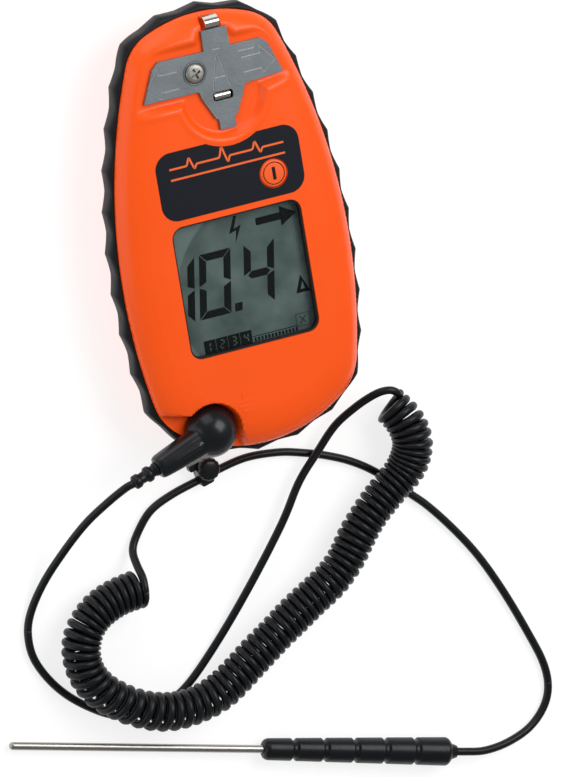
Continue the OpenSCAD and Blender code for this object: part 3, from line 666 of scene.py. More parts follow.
def build_front():
    ring_count = 150
    edge, normals, _ = outline(CASE_STEPS)
    inner_edge = edge - WALL * normals
    centre = np.array([0.0, -6.0])
    inner = [level(inner_edge, SEAM_Z + 0.05)]
    for share in (0.05, 0.12, 0.3, 0.6, 0.85):
        plan = centre + (1 - share) * (inner_edge - centre)
        z = np.minimum(face_height(plan), FACE_Z) - WALL - 0.35
        inner.append(np.c_[plan, np.maximum(z, SEAM_Z + 0.4)])
    outer = []
    for share in (np.arange(ring_count) / ring_count) ** 1.25:
        plan = centre + (1 - share) * (edge - centre)
        outer.append(np.c_[plan, face_height(plan)])
    rings = inner[::-1] + [level(edge, SEAM_Z + 0.05), level(edge, 21.5)] + outer
    cover = skin("cover_front", rings, "orange")
    cut(cover, [cutter(round_rect(*WINDOW, *WINDOW_SIZE, 4.6), 15, 40),
                cutter(circle(*BUTTON, 5.45), 15, 40),
                cutter(circle(*SOCKET, 2.58, 40), 10, 26),
                cutter(circle(*SCREW, 2.62, 40), 22.6, 29)])
    # black-faced channel under the strip, wider at the slot
    x = SLOT[0]
    cut(cover, [cutter(box(x - 3.3, 45.8, x + 3.3, 73.9), 26.9, 29),
                cutter(box(x - 4.3, 46.2, x + 4.3, 54.4), 26.85, 29)], transfer=True)
    sharpen(cover, 40)
    return cover


attach(build_front(), "case", "front_cover")

# ------------------------------------------------------------------ rear cover
# (inset from the outline, z): up the outside to the seam, then down the inside
REAR_PROFILE = [
    (13.5, 0), (12.6, 0.12), (10.6, 0.7), (8.8, 1.5), (6.9, 2.6), (5.1, 4.1), (3.6, 5.6),
    (2.4, 7.4), (1.4, 9.4), (0.6, 12.0), (0.0, 14.5), (0.0, SEAM_Z),
    (WALL - 0.95, SEAM_Z), (WALL - 0.95, 18.0), (WALL, 18.0), (WALL, 16), (3.5, 11),
    (6.2, 6.6), (10, 3.6), (15, WALL)]


def build_rear():
    edge, normals, _ = outline(CASE_STEPS)
    rings = [level(edge - inset * normals, z) for inset, z in REAR_PROFILE]
    cover = skin("cover_rear", rings, "orange")
    tools = [cutter(circle(x, y, 3.1, 48), -1, 4) for x, y in REAR_SCREWS]
    # battery door opening and its side grooves, then the label recess
    tools += [cutter(box(-18.05, 4.95, 18.05, 95), -1, 2.05),
              cutter(box(-19.5, 4.95, 19.5, 95), 1.05, 2.05),
              cutter(round_rect(0, -30, 44.4, 28.4, 3), -1, 0.32)]
    cut(cover, tools)
    sharpen(cover, 40)
    return cover


attach(build_rear(), "case", "rear_cover")

# ------------------------------------------------------------------ grip band
# (distance out from the outline, z, share of the rib height)
BAND_PROFILE = [
    (0.03, 14.6, 0), (0.5, 14.6, 0.25), (0.95, 14.9, 0.5), (1.22, 15.6, 0.8),
    (1.32, 16.6, 0.95), (1.36, 18.5, 1.0), (1.32, 20.6, 0.95), (1.22, 21.5, 0.8),
    (0.95, 22.2, 0.5), (0.5, 22.5, 0.25), (0.03, 22.5, 0)]
BAND_RIBS = 28
RIB_HEIGHT = 1.6


def build_band():
    edge, normals, share = outline(1400)
    phase = share * BAND_RIBS + 0.35
    from_crest = np.abs(phase - np.floor(phase) - 0.5) * 2
    rib = RIB_HEIGHT * np.clip(1 - from_crest, 0, 1) ** 1.4
    rings = [level(edge + (out + rib * k)[:, None] * normals, z) for out, z, k in BAND_PROFILE]
    return skin("grip_band_skin", rings, "band", closed=True)


attach(build_band(), "case", "grip_band")

# ------------------------------------------------------------------ contact plate
PLATE_BOTTOM, PLATE_TOP = 28.15, 29.25
ENGRAVING_WIDTH = 0.42
# (x, y) runs: outline arrow on the -X arm, one on the +X arm, needle between them, bars
ENGRAVING = [
    [(-12.6, 62.9), (-19.9, 62.9), (-19.9, 65.6), (-25.4, 58.4), (-19.9, 53.9),
     (-19.9, 56.6), (-12.6, 56.6)],
    [(11.6, 64.9), (17.9, 64.9), (17.9, 67.0)],
    [(12.4, 56.8), (19.9, 56.8), (19.9, 54.6), (25.4, 58.6), (19.9, 65.2), (19.9, 62.3),
     (12.4, 62.3)],
    moved([(-3.3, 53.2), (-0.3, 65.6), (0.3, 65.6), (3.3, 53.2)], SLOT[0], 0),
    moved([(-2.1, 57.2), (2.1, 57.2)], SLOT[0], 0),
    moved([(-1.4, 67.6), (1.8, 67.6)], SLOT[0], 0)]


def engraving_line(p, q):
    p, q = np.array(p, float), np.array(q, float)
    d = unit(q - p)
    half = np.array([-d[1], d[0]]) * ENGRAVING_WIDTH / 2
    return cutter([p - half, q - half, q + half, p + half], 29.08, 31, "engraved")


def build_plate():
    plate = prism("contact_plate_stamped", PLATE, PLATE_BOTTOM, PLATE_TOP, "plate")
    cut(plate, [cutter(round_rect(*SLOT, 7.8, 3.4, 1.1), 27, 31),
                cutter(circle(*SCREW, 1.7, 32), 27, 31),
                cutter(circle(*SCREW, 4.5), 28.95, 31)])
    bevel = plate.modifiers.new("bevel", "BEVEL")
    bevel.width = 0.28 * MM
    bevel.segments = 3
    bevel.limit_method = "ANGLE"
    bevel.angle_limit = math.radians(40)
    apply_modifiers(plate)
    cut(plate, [engraving_line(p, q) for run in ENGRAVING for p, q in zip(run[:-1], run[1:])],
        transfer=True)
    sharpen(plate, 30)
    for face in plate.data.polygons:
        if face.area > 0 and abs(face.normal.z) >= 0.995:
            face.use_smooth = False
    return plate


attach(build_plate(), "case", "contact_plate")

# ------------------------------------------------------------------ contact strip
# (y, z) along the strip: it runs under the plate and rolls over at its +Y end
STRIP_PATH = [
    (46.4, 27.3), (48.2, 27.35), (49.2, 28.0), (50.2, 28.45), (51.2, 28.0), (52.2, 27.35),
    (56, 27.3), (66, 27.3), (74.3, 27.35), (75.2, 27.7), (76.0, 28.9), (77.0, 29.7),
    (78.0, 29.8), (78.9, 29.2), (79.4, 28.1), (79.55, 26.6), (79.6, 25.3)]
# (side, inset from the edge, height off the middle) round the section
STRIP_SECTION = [
    (-1, 0.15, 0.3), (1, 0.15, 0.3), (1, 0, 0.12), (1, 0, -0.12),
    (1, 0.15, -0.3), (-1, 0.15, -0.3), (-1, 0, -0.12), (-1, 0, 0.12)]


def build_strip():
    path = catmull(STRIP_PATH, 6)
    tangents = directions(path)
    rings = []
    for (y, z), (ty, tz) in zip(path, tangents):
        half_width = 2.85 + 0.35 * float(smooth_step(54.5 - y, 0, 1.5))
        rings.append([(SLOT[0] + side * (half_width - inset), y - tz * height, z + ty * height)
                      for side, inset, height in STRIP_SECTION])
    strip = skin("contact_strip_rolled", rings, "nickel")
    sharpen(strip, 50)
    return strip


attach(build_strip(), "case", "contact_strip")

# ------------------------------------------------------------------ contact screw
# (r, z)
SCREW_PROFILE = [(0, 23.2), (1.48, 23.3), (1.48, 28.97), (3.45, 28.97), (3.6, 29.5),
                 (3.2, 30.0), (2.2, 30.2), (0, 30.25)]
DIMPLE_PROFILE = [(3.75, 28.97), (4.35, 28.97), (4.4, 29.3), (4.25, 29.42), (4.0, 29.36),
                  (3.8, 29.1)]


def build_screw():
    screw = revolve("contact_screw_head", fillet(SCREW_PROFILE, r=0.3, n=5), "screw",
                    origin=(*SCREW, 0))
    cross = box(-2.0, -0.45, 2.0, 0.45)
    cut(screw, [cutter(turned(cross, SCREW, degrees), 29.0, 32) for degrees in (20, 110)])
    sharpen(screw, 35)
    return screw


attach(build_screw(), "case", "contact_screw")
dimple = skin("contact_plate_dimple",
              [level(circle(*SCREW, r, 72), z) for r, z in DIMPLE_PROFILE], "plate", closed=True)
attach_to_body(dimple, "case")


# ------------------------------------------------------------------ face label and marks
def label_outline():
    """Rounded rectangle in short steps, pushed clear of the round bay."""
    clearance = 18.0
    corners = round_rect(0.6, 21.8, 56.3, 25.5, 6.2, 14)
    points = []
    for a, b in zip(corners, corners[1:] + corners[:1]):
        steps = max(1, int(math.dist(a, b) / 0.8))
        for i in range(steps):
            x = a[0] + (b[0] - a[0]) * i / steps
            y = a[1] + (b[1] - a[1]) * i / steps
            dx, dy = x - RIM[0], y - RIM[1]
            d = math.hypot(dx, dy)
            if d < clearance:
                x, y = RIM[0] + dx / d * clearance, RIM[1] + dy / d * clearance
            points.append((x, y))
    return points


def build_label():
    label = prism("face_label_film", label_outline(), 30.08, 30.44, "label")
    cut(label, [cutter(circle(*BUTTON, 5.5), 29, 32)])
    sharpen(label, 30)
    return label


def strokes(name, lines, width, z0, z1, material):
    """Flat strokes along plan lines, as separate thin bars in one mesh."""
    verts, faces = [], []
    for line in lines:
        line = np.array(line, float)
        tangents = directions(line)
        side = np.stack([-tangents[:, 1], tangents[:, 0]], 1) * width / 2
        k, base = len(line), len(verts)
        for z in (z0, z1):
            verts += [(x, y, z) for x, y in np.vstack([line + side, line - side])]
        # starts of the four long edges: left and right, low and high
        ll, rl, lh, rh = (base + k * i for i in range(4))
        for i in range(k - 1):
            j = i + 1
            faces += [(ll + i, rl + i, rl + j, ll + j), (lh + i, lh + j, rh + j, rh + i),
                      (ll + i, ll + j, lh + j, lh + i), (rl + i, rh + i, rh + j, rl + j)]
        end = k - 1
        faces += [(ll, lh, rh, rl), (ll + end, rl + end, rh + end, lh + end)]
    return fix_normals(new_object(name, verts, faces, material, smooth=False))


def build_earth_mark():
    """Three bars, shorter towards -Y, below a stem."""
    x, y = -8.2, -62.2
    lines = [[(x - width / 2, y - drop), (x + width / 2, y - drop)]
             for width, drop in ((7.0, 0.0), (4.6, 1.8), (2.2, 3.6))]
    lines.append([(x, y + 3.6), (x, y + 0.4)])
    z = float(face_height(np.array([[x, y]]))[0])
    return strokes("cover_earth_mark", lines, 0.85, z - 0.5, z + 0.13, "orange")


def build_trace():
    """Pulse line over a straight line, on the label."""
    x = np.linspace(-22.5, 22.5, 260)
    y = np.zeros_like(x)
    # place, height and width of each pulse
    for centre, height, width in ((-14.5, 2.6, 0.75), (-12.7, -1.5, 0.6), (-1.5, 3.6, 0.8),
                                  (0.4, -2.0, 0.6), (11.5, 2.6, 0.75), (13.3, -1.5, 0.6)):
        y += height * np.exp(-((x - centre) / width) ** 2)
    lines = [np.c_[x + 0.2, y + 28.3], [(-22.3, 24.3), (22.7, 24.3)]]
    return strokes("label_trace", lines, 0.75, 30.40, 30.47, "print")


attach(build_label(), "case", "face_label")
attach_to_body(build_earth_mark(), "case")
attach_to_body(build_trace(), "case")


# ------------------------------------------------------------------ window
def build_window_border():
    outer = round_rect(*WINDOW, 50.9, 49.9, 4.5, 12)
    inner = round_rect(*WINDOW, 49.7, 48.7, 4.0, 12)
    rings = [level(outer, 27.5), level(outer, 29.75), level(inner, 29.75), level(inner, 27.5)]
    return skin("window_border", rings, "border", closed=True, smooth=False)


lens = prism("window_lens", round_rect(*WINDOW, 56, 55, 3), 26.4, 27.6, "lens")
attach(lens, "case", "lcd_window")
attach(build_window_border(), "case", "lcd_window")

# ------------------------------------------------------------------ display
# shapes are laid out from the window's lower left corner
LIT_BARS = {"0": "abcdef", "1": "bc", "2": "abged", "3": "abgcd", "4": "fgbc"}


def digit(x, y, height, character, thick, slant):
    """Bars of a seven-segment digit with its lower left corner at (x, y)."""
    gap = 0.22
    width = height * 0.52
    mid = height / 2
    left, right = thick + gap, width - thick - gap
    low, high = mid - thick / 2, mid + thick / 2
    bars = {
        "a": [(gap, height), (width - gap, height), (right, height - thick),
              (left, height - thick)],
        "d": [(gap, 0), (left, thick), (right, thick), (width - gap, 0)],
        "g": [(thick / 2 + gap, mid), (left, high), (right, high),
              (width - thick / 2 - gap, mid), (right, low), (left, low)],
        "f": [(0, height - gap), (thick, height - thick - gap), (thick, high + gap),
              (0, mid + gap)],
        "e": [(0, gap), (0, mid - gap), (thick, low - gap), (thick, thick + gap)],
        "b": [(width, height - gap), (width, mid + gap), (width - thick, high + gap),
              (width - thick, height - thick - gap)],
        "c": [(width, gap), (width - thick, thick + gap), (width - thick, low - gap),
              (width, mid - gap)]}
    return [[(x + px + py * slant, y + py) for px, py in bars[bar]]
            for bar in LIT_BARS[character]]


def add_display_piece(name, shapes, z0, z1, material):
    """Flat shapes as one mesh of thin slabs."""
    left, bottom = WINDOW - np.array(WINDOW_SIZE) / 2
    verts, faces = [], []
    for shape in shapes:
        base, n = len(verts), len(shape)
        for z in (z0, z1):
            verts += [(x, y, z) for x, y in moved(shape, left, bottom)]
        faces.append(tuple(base + i for i in range(n - 1, -1, -1)))
        faces.append(tuple(base + n + i for i in range(n)))
        for i in range(n):
            j = (i + 1) % n
            faces.append((base + i, base + j, base + n + j, base + n + i))
    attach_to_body(fix_normals(new_object(name, verts, faces, material, smooth=False)), "case")


def main_shapes():
    shapes = []
    for x, y, height, character in ((-7.3, 13.1, 23.8, "1"), (7.0, 13.2, 23.8, "0"),
                                    (24.7, 13.6, 23.0, "4")):
        shapes += digit(x, y, height, character, thick=2.75, slant=0.15)
    # decimal point
    shapes.append([(20.9, 13.2), (23.8, 13.2), (24.2, 16.2), (21.3, 16.2)])
    # arrow to the right
    shapes += [box(34.2, 42.55, 44.2, 45.25), [(43.9, 40.2), (50.3, 43.9), (43.9, 47.6)]]
    # spark
    shapes.append([(26.0, 48.0), (27.2, 48.0), (25.4, 43.4), (28.4, 44.3), (25.4, 38.2),
                   (26.3, 42.7), (23.4, 41.9)])
    # small bold triangle at the right
    for part in ([(0, 0), (1.4, 0), (3.0, 4.2), (2.5, 6.6)],
                 [(1.2, 0), (4.4, 0), (4.0, 1.25), (1.6, 1.25)],
                 [(4.2, 0), (3.6, 1.25), (3.0, 4.2), (2.5, 6.6), (5.5, 0)]):
        shapes.append(moved(part, 45.3, 14.1))
    # scale along the bottom
    for i in range(13):
        x = 26.8 + i * 1.36
        shapes.append(box(x - 0.3, 0.5, x + 0.5, 1.9))
    shapes.append(box(26.1, 2.3, 43.9, 2.6))
    return shapes


def block_numbers():
    shapes = []
    for i, character in enumerate("1234"):
        x = 8.25 + i * BLOCK_PITCH - (0.7 if character == "1" else 0)
        shapes += digit(x, 1.0, 3.4, character, thick=0.42, slant=0.05)
    return shapes


BLOCK_PITCH = 4.75
BLOCKS = [box(6.9 + i * BLOCK_PITCH, 0.0, 11.45 + i * BLOCK_PITCH, 5.2) for i in range(4)]
# boxed cross, only half dark
FAINT_MARK = [moved(shape, 43.4, 1.7) for shape in (
    box(0, 0, 5.6, 0.35), box(0, 4.6, 5.6, 4.95), box(0, 0, 0.35, 4.95),
    box(5.25, 0, 5.6, 4.95),
    [(1.2, 1.1), (2.0, 1.1), (4.4, 3.9), (3.6, 3.9)],
    [(1.2, 3.9), (3.4, 1.2), (4.2, 1.2), (2.0, 3.9)])]

add_display_piece("display_segments", main_shapes(), 26.22, 26.28, "segment")
add_display_piece("display_blocks", BLOCKS, 26.22, 26.28, "segment")
add_display_piece("display_numbers", block_numbers(), 26.27, 26.32, "display")
add_display_piece("display_faint", FAINT_MARK, 26.215, 26.245, "faint")

# ------------------------------------------------------------------ power button
# (r, z): flange, stem and a top with a ring groove
BUTTON_PROFILE = [
    (0, 25.05), (6.4, 25.05), (6.4, 25.75), (5.2, 25.9), (5.2, 30.2), (4.75, 30.75),
    (4.3, 30.88), (4.22, 30.55), (3.92, 30.55), (3.84, 30.88), (0, 30.92)]


def build_button():
    button = revolve("power_button_cap", fillet(BUTTON_PROFILE, r=0.12, n=4), "orange_matt",
                     origin=(*BUTTON, 0), n=96)
    cut(button, [cutter(round_rect(*BUTTON, 1.35, 4.9, 0.4, 4), 30.55, 33)])
    sharpen(button, 35)
    return button


attach(build_button(), "button", "power_button")
ring_section = ((3.95, 30.56), (4.19, 30.56), (4.19, 30.66), (3.95, 30.66))
ring_ink = skin("button_ring_ink", [level(circle(*BUTTON, r, 96), z) for r, z in ring_section],
                "label", closed=True, smooth=False)
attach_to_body(ring_ink, "button")
bar_ink = prism("button_bar_ink", round_rect(*BUTTON, 1.2, 4.7, 0.35, 4), 30.57, 30.7, "label")
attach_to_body(bar_ink, "button")

# ------------------------------------------------------------------ plug
PLUG_ANGLE = math.radians(198.5)
ARM = np.array([math.cos(PLUG_ANGLE), math.sin(PLUG_ANGLE), 0.0])    # along the plug's arm
ACROSS = np.array([-math.sin(PLUG_ANGLE), math.cos(PLUG_ANGLE), 0.0])
SOCKET_FOOT = np.array([*SOCKET, 0.0])
CABLE_Z = 28.1
DOME_R, DOME_BASE_Z, DOME_RISE = 9.85, 25.1, 9.7
# (distance along the arm, half width, top z, bottom z)
ARM_STATIONS = [
    (-2, 5.2, 32.6, 23.8), (4, 5.4, 32.8, 23.8), (10, 5.25, 32.8, 23.8),
    (18, 4.8, 32.6, 23.8), (22.9, 4.45, 32.4, 23.9), (24.2, 4.2, 32.1, 24.3),
    (24.9, 3.7, 31.6, 24.8)]
# (distance along the arm, half width, crest z)
RIDGE_STATIONS = [(5, 0.5, 32.8), (8, 0.8, 33.4), (18, 0.8, 33.15), (22.8, 0.5, 32.4)]


def plug_points(along, across, z):
    return (SOCKET_FOOT + ARM * along + np.multiply.outer(across, ACROSS)
            + np.multiply.outer(z, UP))


def build_plug():
    profile = [(0, 23.5), (9.2, 23.5), (9.7, 23.8), (DOME_R, DOME_BASE_Z)]
    for i in range(1, 17):
        angle = math.radians(90 * i / 16)
        profile.append((DOME_R * math.cos(angle) if i < 16 else 0,
                        DOME_BASE_Z + DOME_RISE * math.sin(angle)))
    plug = revolve("plug_housing_moulded", profile, "plug", origin=SOCKET_FOOT, n=96)
    # the arm's sections are squared-off ovals
    squareness = 2.6
    cos, sin = (np.copysign(np.abs(wave) ** (2 / squareness), wave)
                for wave in (np.cos(turn(48)), np.sin(turn(48))))
    arm = skin("arm", [plug_points(along, half_width * cos,
                                   (top + bottom) / 2 + (top - bottom) / 2 * sin)
                       for along, half_width, top, bottom in ARM_STATIONS], "plug")
    ridge = skin("ridge", [plug_points(along, np.array([w, w, 0, -w, -w]),
                                       np.array([30, z - 0.25, z, z - 0.25, 30]))
                           for along, w, z in RIDGE_STATIONS], "plug")
    cut(plug, [arm, ridge], "UNION")
    # remesh and smooth to melt the joints together
    remesh = plug.modifiers.new("remesh", "REMESH")
    remesh.mode = "VOXEL"
    remesh.voxel_size = 0.28 * MM
    remesh.use_smooth_shade = True
    smooth = plug.modifiers.new("smooth", "SMOOTH")
    smooth.factor = 0.5
    smooth.iterations = 5
    apply_modifiers(plug)
    plug.data.polygons.foreach_set("use_smooth", [True] * len(plug.data.polygons))
    cut(plug, [cutter(circle(*SOCKET, 2.02, 32), 20, 29.3)])
    return plug


attach(build_plug(), "plug", "plug_housing")

# (r, distance along the arm): ringed outside, then back along the bore
BOOT_PROFILE = [
    (1.6, 19.0), (1.85, 19.0), (1.85, 24.0), (2.5, 24.4), (2.7, 25.2), (2.6, 25.9),
    (2.2, 26.5), (2.15, 27.3), (2.7, 27.7), (2.98, 28.2), (2.98, 29.5), (2.6, 29.95),
    (2.15, 30.3), (2.1, 32.2), (2.45, 32.6), (2.68, 33.0), (2.68, 34.7), (2.3, 35.15),
    (1.75, 35.3), (1.56, 35.0), (1.56, 19.2)]


def build_boot():
    to_arm = np.stack([ACROSS, UP, ARM], 1)      # local z runs along the arm
    origin = SOCKET_FOOT + UP * CABLE_Z
    rings = [level(circle(0, 0, r, 48), along) @ to_arm.T + origin
             for r, along in BOOT_PROFILE]
    boot = skin("plug_boot_ringed", rings, "cable", closed=True)
    sharpen(boot, 50)
    return boot


attach(build_boot(), "plug", "plug_boot")

# ------------------------------------------------------------------ cable stations, (x, y, z)
MOUTH = SOCKET_FOOT + UP * CABLE_Z + ARM * 23.5      # where the cable leaves the arm
PLUG_CABLE = [MOUTH, MOUTH + ARM * 6, MOUTH + ARM * 12, MOUTH + ARM * 15 - UP * 0.6] + [
    (-64.2, -88.4, 23), (-71.7, -95.9, 16.4), (-79.4, -106.4, 9), (-86.8, -116.8, 4),
    (-92.6, -126.9, 1.6), (-95.2, -135, 1.6), (-94.3, -145, 1.6), (-88, -156.5, 1.6),
    (-78.5, -166, 1.6), (-66, -173.5, 1.6), (-52, -174.5, 1.6), (-39.7, -170.3, 1.6),
    (-25, -157.2, 1.8), (-9, -138.3, 4.2), (7.4, -117.5, 5.4), (16.2, -104, 5.8),
    (25, -94.9, 5.8), (33.3, -86.3, 6.8), (41.1, -80.9, 9.4), (46.7, -77.9, 11.6),
    (50.8, -76.5, 13.1), (54.4, -76.6, 13.9), (56.8, -78.1, 13.6)]
COIL_AXIS = [
    (54.6, -83.0, 9.4), (57.8, -87.9, 11.6), (59.7, -93.6, 12.9), (59.9, -99.6, 12.9),
    (56.4, -107.3, 11.6), (48.7, -113.6, 10.7), (41.1, -119.9, 10.5), (34, -127.2, 10.5),
    (28.1, -135.1, 10.5), (20.6, -141.7, 10.5), (12, -146.5, 10.5), (3.3, -151.6, 10.5),
    (-5, -156.8, 10.5), (-13.5, -162.2, 10.5), (-21.7, -167.8, 10.5), (-30.1, -172.4, 10.6),
    (-40.2, -174.6, 10.7), (-50, -174.2, 10.9), (-59.4, -170.9, 11), (-67.7, -165.7, 11),
    (-75.3, -158.7, 11), (-79.4, -149.4, 11), (-78.3, -139.4, 10.5), (-71.8, -131.8, 9.4),
    (-62.1, -128, 8.2), (-52.2, -127, 7.6)]
PROBE_CABLE = [
    (-51.5, -122, 11.6), (-51.4, -118, 7.2), (-50.6, -113.8, 3.2), (-47.6, -109, 1.6),
    (-41, -101.5, 1.6), (-31.5, -97.4, 1.6), (-19.9, -94.6, 1.6), (-9, -92, 1.6),
    (0.5, -90.9, 1.6), (12, -92.1, 1.6), (20.2, -94.3, 1.6), (29.7, -97.7, 1.6),
    (39.3, -102.4, 1.6), (48.5, -109, 1.6), (60.1, -120.1, 1.6), (66.4, -126.6, 1.6),
    (74.7, -137.4, 1.6), (82.8, -150.1, 1.6), (90.4, -166, 1.6), (97.6, -184.5, 1.6),
    (101.3, -196.2, 1.6), (101.6, -205.4, 1.6), (98.2, -212.8, 1.7), (91, -218.6, 2.4),
    (80.9, -221.4, 3.8), (71.4, -221.6, 5.2), (64.4, -220.1, 5.56), (60.1, -218.97, 5.5),
    (55.7, -217.8, 5.42)]

# ------------------------------------------------------------------ coiled cord
TURNS = 77
STEPS_PER_TURN = 28
COIL_START = math.radians(65)
COIL_R = 5.62
WIRE_R = 1.6
# share of the length, share of the turns wound by there: wider pitch round the bend
LENGTH_SHARES = [0, 0.06, 0.14, 0.333, 0.565, 0.666, 0.754, 0.796, 0.838, 1]
TURN_SHARES = [0, 0.0633, 0.1627, 0.3666, 0.6029, 0.6887, 0.7499, 0.7805, 0.8193, 1]


def coil_path():
    """Centre line of the wound wire, and its outward directions."""
    axis = resample(relax(catmull(COIL_AXIS, 12), 20), 1200)
    wound = np.linspace(0, 1, TURNS * STEPS_PER_TURN + 1)
    grid = np.linspace(0, 1, 400)
    share = np.interp(wound, monotone(grid, LENGTH_SHARES, TURN_SHARES), grid)
    stations = np.linspace(0, 1, len(axis))
    centre = interpolate(share, stations, axis)
    tangents = unit(interpolate(share, stations, directions(axis)))
    upward = square_to(UP, tangents)
    sideways = np.cross(upward, tangents)
    angle = COIL_START + (2 * np.pi * TURNS - COIL_START) * wound
    # slight growth and waver, and a swelling near the start
    radius = (COIL_R + 0.08 * share + 0.12 * np.sin(wound * 61.0) * np.sin(wound * 17.0)
              + 0.45 * np.exp(-((share - 0.075) / 0.05) ** 2))
    outward = np.cos(angle)[:, None] * upward + np.sin(angle)[:, None] * sideways
    # slight irregularity of the lay
    drift = 0.12 * np.sin(wound * 150.0 + 1.3) * np.sin(wound * 23.0)
    return centre + radius[:, None] * outward + drift[:, None] * tangents, outward


def build_coil(path, outward):
    """The section is pressed flat where the next turn comes closer than one wire."""
    tangents = directions(path)
    gap = np.full(len(path), 9.0)
    to_next = np.linalg.norm(path[STEPS_PER_TURN:] - path[:-STEPS_PER_TURN], axis=1)
    gap[:-STEPS_PER_TURN] = np.minimum(gap[:-STEPS_PER_TURN], to_next)
    gap[STEPS_PER_TURN:] = np.minimum(gap[STEPS_PER_TURN:], to_next)
    half_width = np.minimum(WIRE_R, 0.492 * gap)
    half_width = np.convolve(np.pad(half_width, 3, mode="edge"), np.ones(7) / 7, "valid")
    first = square_to(outward, tangents)
    second = np.cross(tangents, first)
    cos, sin = np.cos(turn(12))[:, None], np.sin(turn(12))[:, None]
    rings = [p + WIRE_R * cos * a + w * sin * b
             for p, a, b, w in zip(path, first, second, half_width)]
    return skin("coiled_cord", rings, "cable")


wire, wire_outward = coil_path()
coil = build_coil(wire, wire_outward)
dress("coil_cord")
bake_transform(coil)

# ------------------------------------------------------------------ straight cables
CABLE_R = 1.5


def build_cable(path, taper, split, names, node):
    """One run of cable as two pieces that share the ring where they meet."""
    rings = tube_rings(path, CABLE_R * taper, 16)
    pieces = [skin(names[0], rings[:split + 1], "cable"), skin(names[1], rings[split:], "cable")]
    for piece in pieces:
        dress(node)
    return pieces


# plug cable: its end runs into the first turn of the coil
start_direction = unit(wire[1] - wire[0])
plug_stations = PLUG_CABLE + [wire[0] - 1.2 * start_direction, wire[0] + 0.3 * start_direction]
plug_path = resample(relax(catmull(plug_stations, 10), 4), 340)
plug_taper = np.ones(len(plug_path))
plug_taper[-16:] = np.linspace(1, 0.95, 16)
plug_split = int(np.argmax((plug_path[:, 0] < -90) & (plug_path[:, 1] < -133)))
plug_run, plug_far = build_cable(plug_path, plug_taper, plug_split,
                                 ("plug_cable_run", "plug_cable_far"), "plug_cable")
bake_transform(plug_run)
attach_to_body(plug_far, "cord")

# probe cable: starts in the last turn of the coil
end_direction = unit(wire[-1] - wire[-2])
probe_stations = [wire[-1] - 0.3 * end_direction, wire[-1] + 1.2 * end_direction] + PROBE_CABLE
probe_path = resample(relax(catmull(probe_stations, 10), 4), 440)
probe_taper = np.ones(len(probe_path))
probe_taper[:12] = np.linspace(0.95, 1, 12)
probe_split = int(np.argmax((probe_path[:, 0] > 95) & (probe_path[:, 1] < -203)))
probe_run, probe_tail = build_cable(probe_path, probe_taper, probe_split,
                                    ("probe_cable_run", "probe_cable_tail"), "probe_cable")
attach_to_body(probe_run, "lead")
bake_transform(probe_tail)

# ------------------------------------------------------------------ cable clip
CLIP = np.array([-18.2, -94.2])
CLIP_ANGLE = 14
KNOB = CLIP + np.array([0.7, 3.8])
KNOB_RIBS = 14
# (r, z, share of the rib depth)
KNOB_PROFILE = [(3.3, 1.7, 0), (4.0, 1.9, 0.5), (4.3, 2.4, 1), (4.3, 6.3, 1), (4.15, 6.9, 0.7),
                (3.6, 7.5, 0.2), (2.4, 7.85, 0), (0.8, 7.95, 0)]


def build_clip():
    n = 112
    ribs = 0.13 * np.cos(turn(n) * KNOB_RIBS)
    clip = skin("cable_clip_knob",
                [level(circle(*KNOB, r + ribs * k, n), z) for r, z, k in KNOB_PROFILE], "plug")
    base = turned(round_rect(0, 0.7, 5.2, 6.0, 1.0, 5), CLIP, CLIP_ANGLE)
    tab = turned(round_rect(-2.4, 6.2, 5.0, 2.4, 0.8, 5), CLIP, CLIP_ANGLE)
    cut(clip, [cutter(base, 0.05, 4.4), cutter(tab, 2.2, 4.8)], "UNION")
    # channel for the cable
    channel = level(turned([(-6, 0), (0, 0), (6, 0)], CLIP, CLIP_ANGLE), 1.6)
    cut(clip, [skin("channel", tube_rings(channel, [1.66] * 3, 20), "plug")])
    sharpen(clip, 40)
    return clip


attach(build_clip(), "lead", "cable_clip")

# ------------------------------------------------------------------ probe
HANDLE_LENGTH = 74.0
PROBE_END = np.array([57.6, -218.3, 5.45])       # cable end of the handle
PROBE_HEADING = math.radians(165.05)
PROBE_TILT = math.radians(90 + 1.05)             # from straight up
GROOVES = (14, 26, 38, 50, 62)
ROD_R = 1.5


def probe_rotation():
    """Turns local z onto the probe's length."""
    c, s = math.cos(PROBE_HEADING), math.sin(PROBE_HEADING)
    heading = np.array([[c, -s, 0], [s, c, 0], [0, 0, 1]])
    c, s = math.cos(PROBE_TILT), math.sin(PROBE_TILT)
    return heading @ np.array([[c, 0, s], [0, 1, 0], [-s, 0, c]])


def handle_radius(x):
    return 5.35 - 1.3 * x / HANDLE_LENGTH


def build_handle():
    # (r, distance from the cable end): cable bore, grooved barrel, rod bore
    profile = [(0, 5.8), (2.4, 5.8), (2.4, 0.0), (3.7, 0.0), (4.7, 0.7)]
    x = 1.7
    for groove in GROOVES:
        r = handle_radius(groove)
        profile += [(handle_radius(x), x), (handle_radius(groove - 1.15), groove - 1.15),
                    (r - 0.75, groove - 0.85), (r - 0.85, groove), (r - 0.75, groove + 0.85),
                    (handle_radius(groove + 1.15), groove + 1.15)]
        x = groove + 1.6
    profile += [(handle_radius(72.2), 72.2), (3.6, 73.4), (2.7, HANDLE_LENGTH),
                (1.53, HANDLE_LENGTH), (1.53, 45), (0, 45)]
    handle = revolve("probe_handle_grip", fillet(profile, r=0.35, n=4), "handle",
                     origin=PROBE_END, rotation=probe_rotation(), n=96)
    sharpen(handle, 60)
    return handle


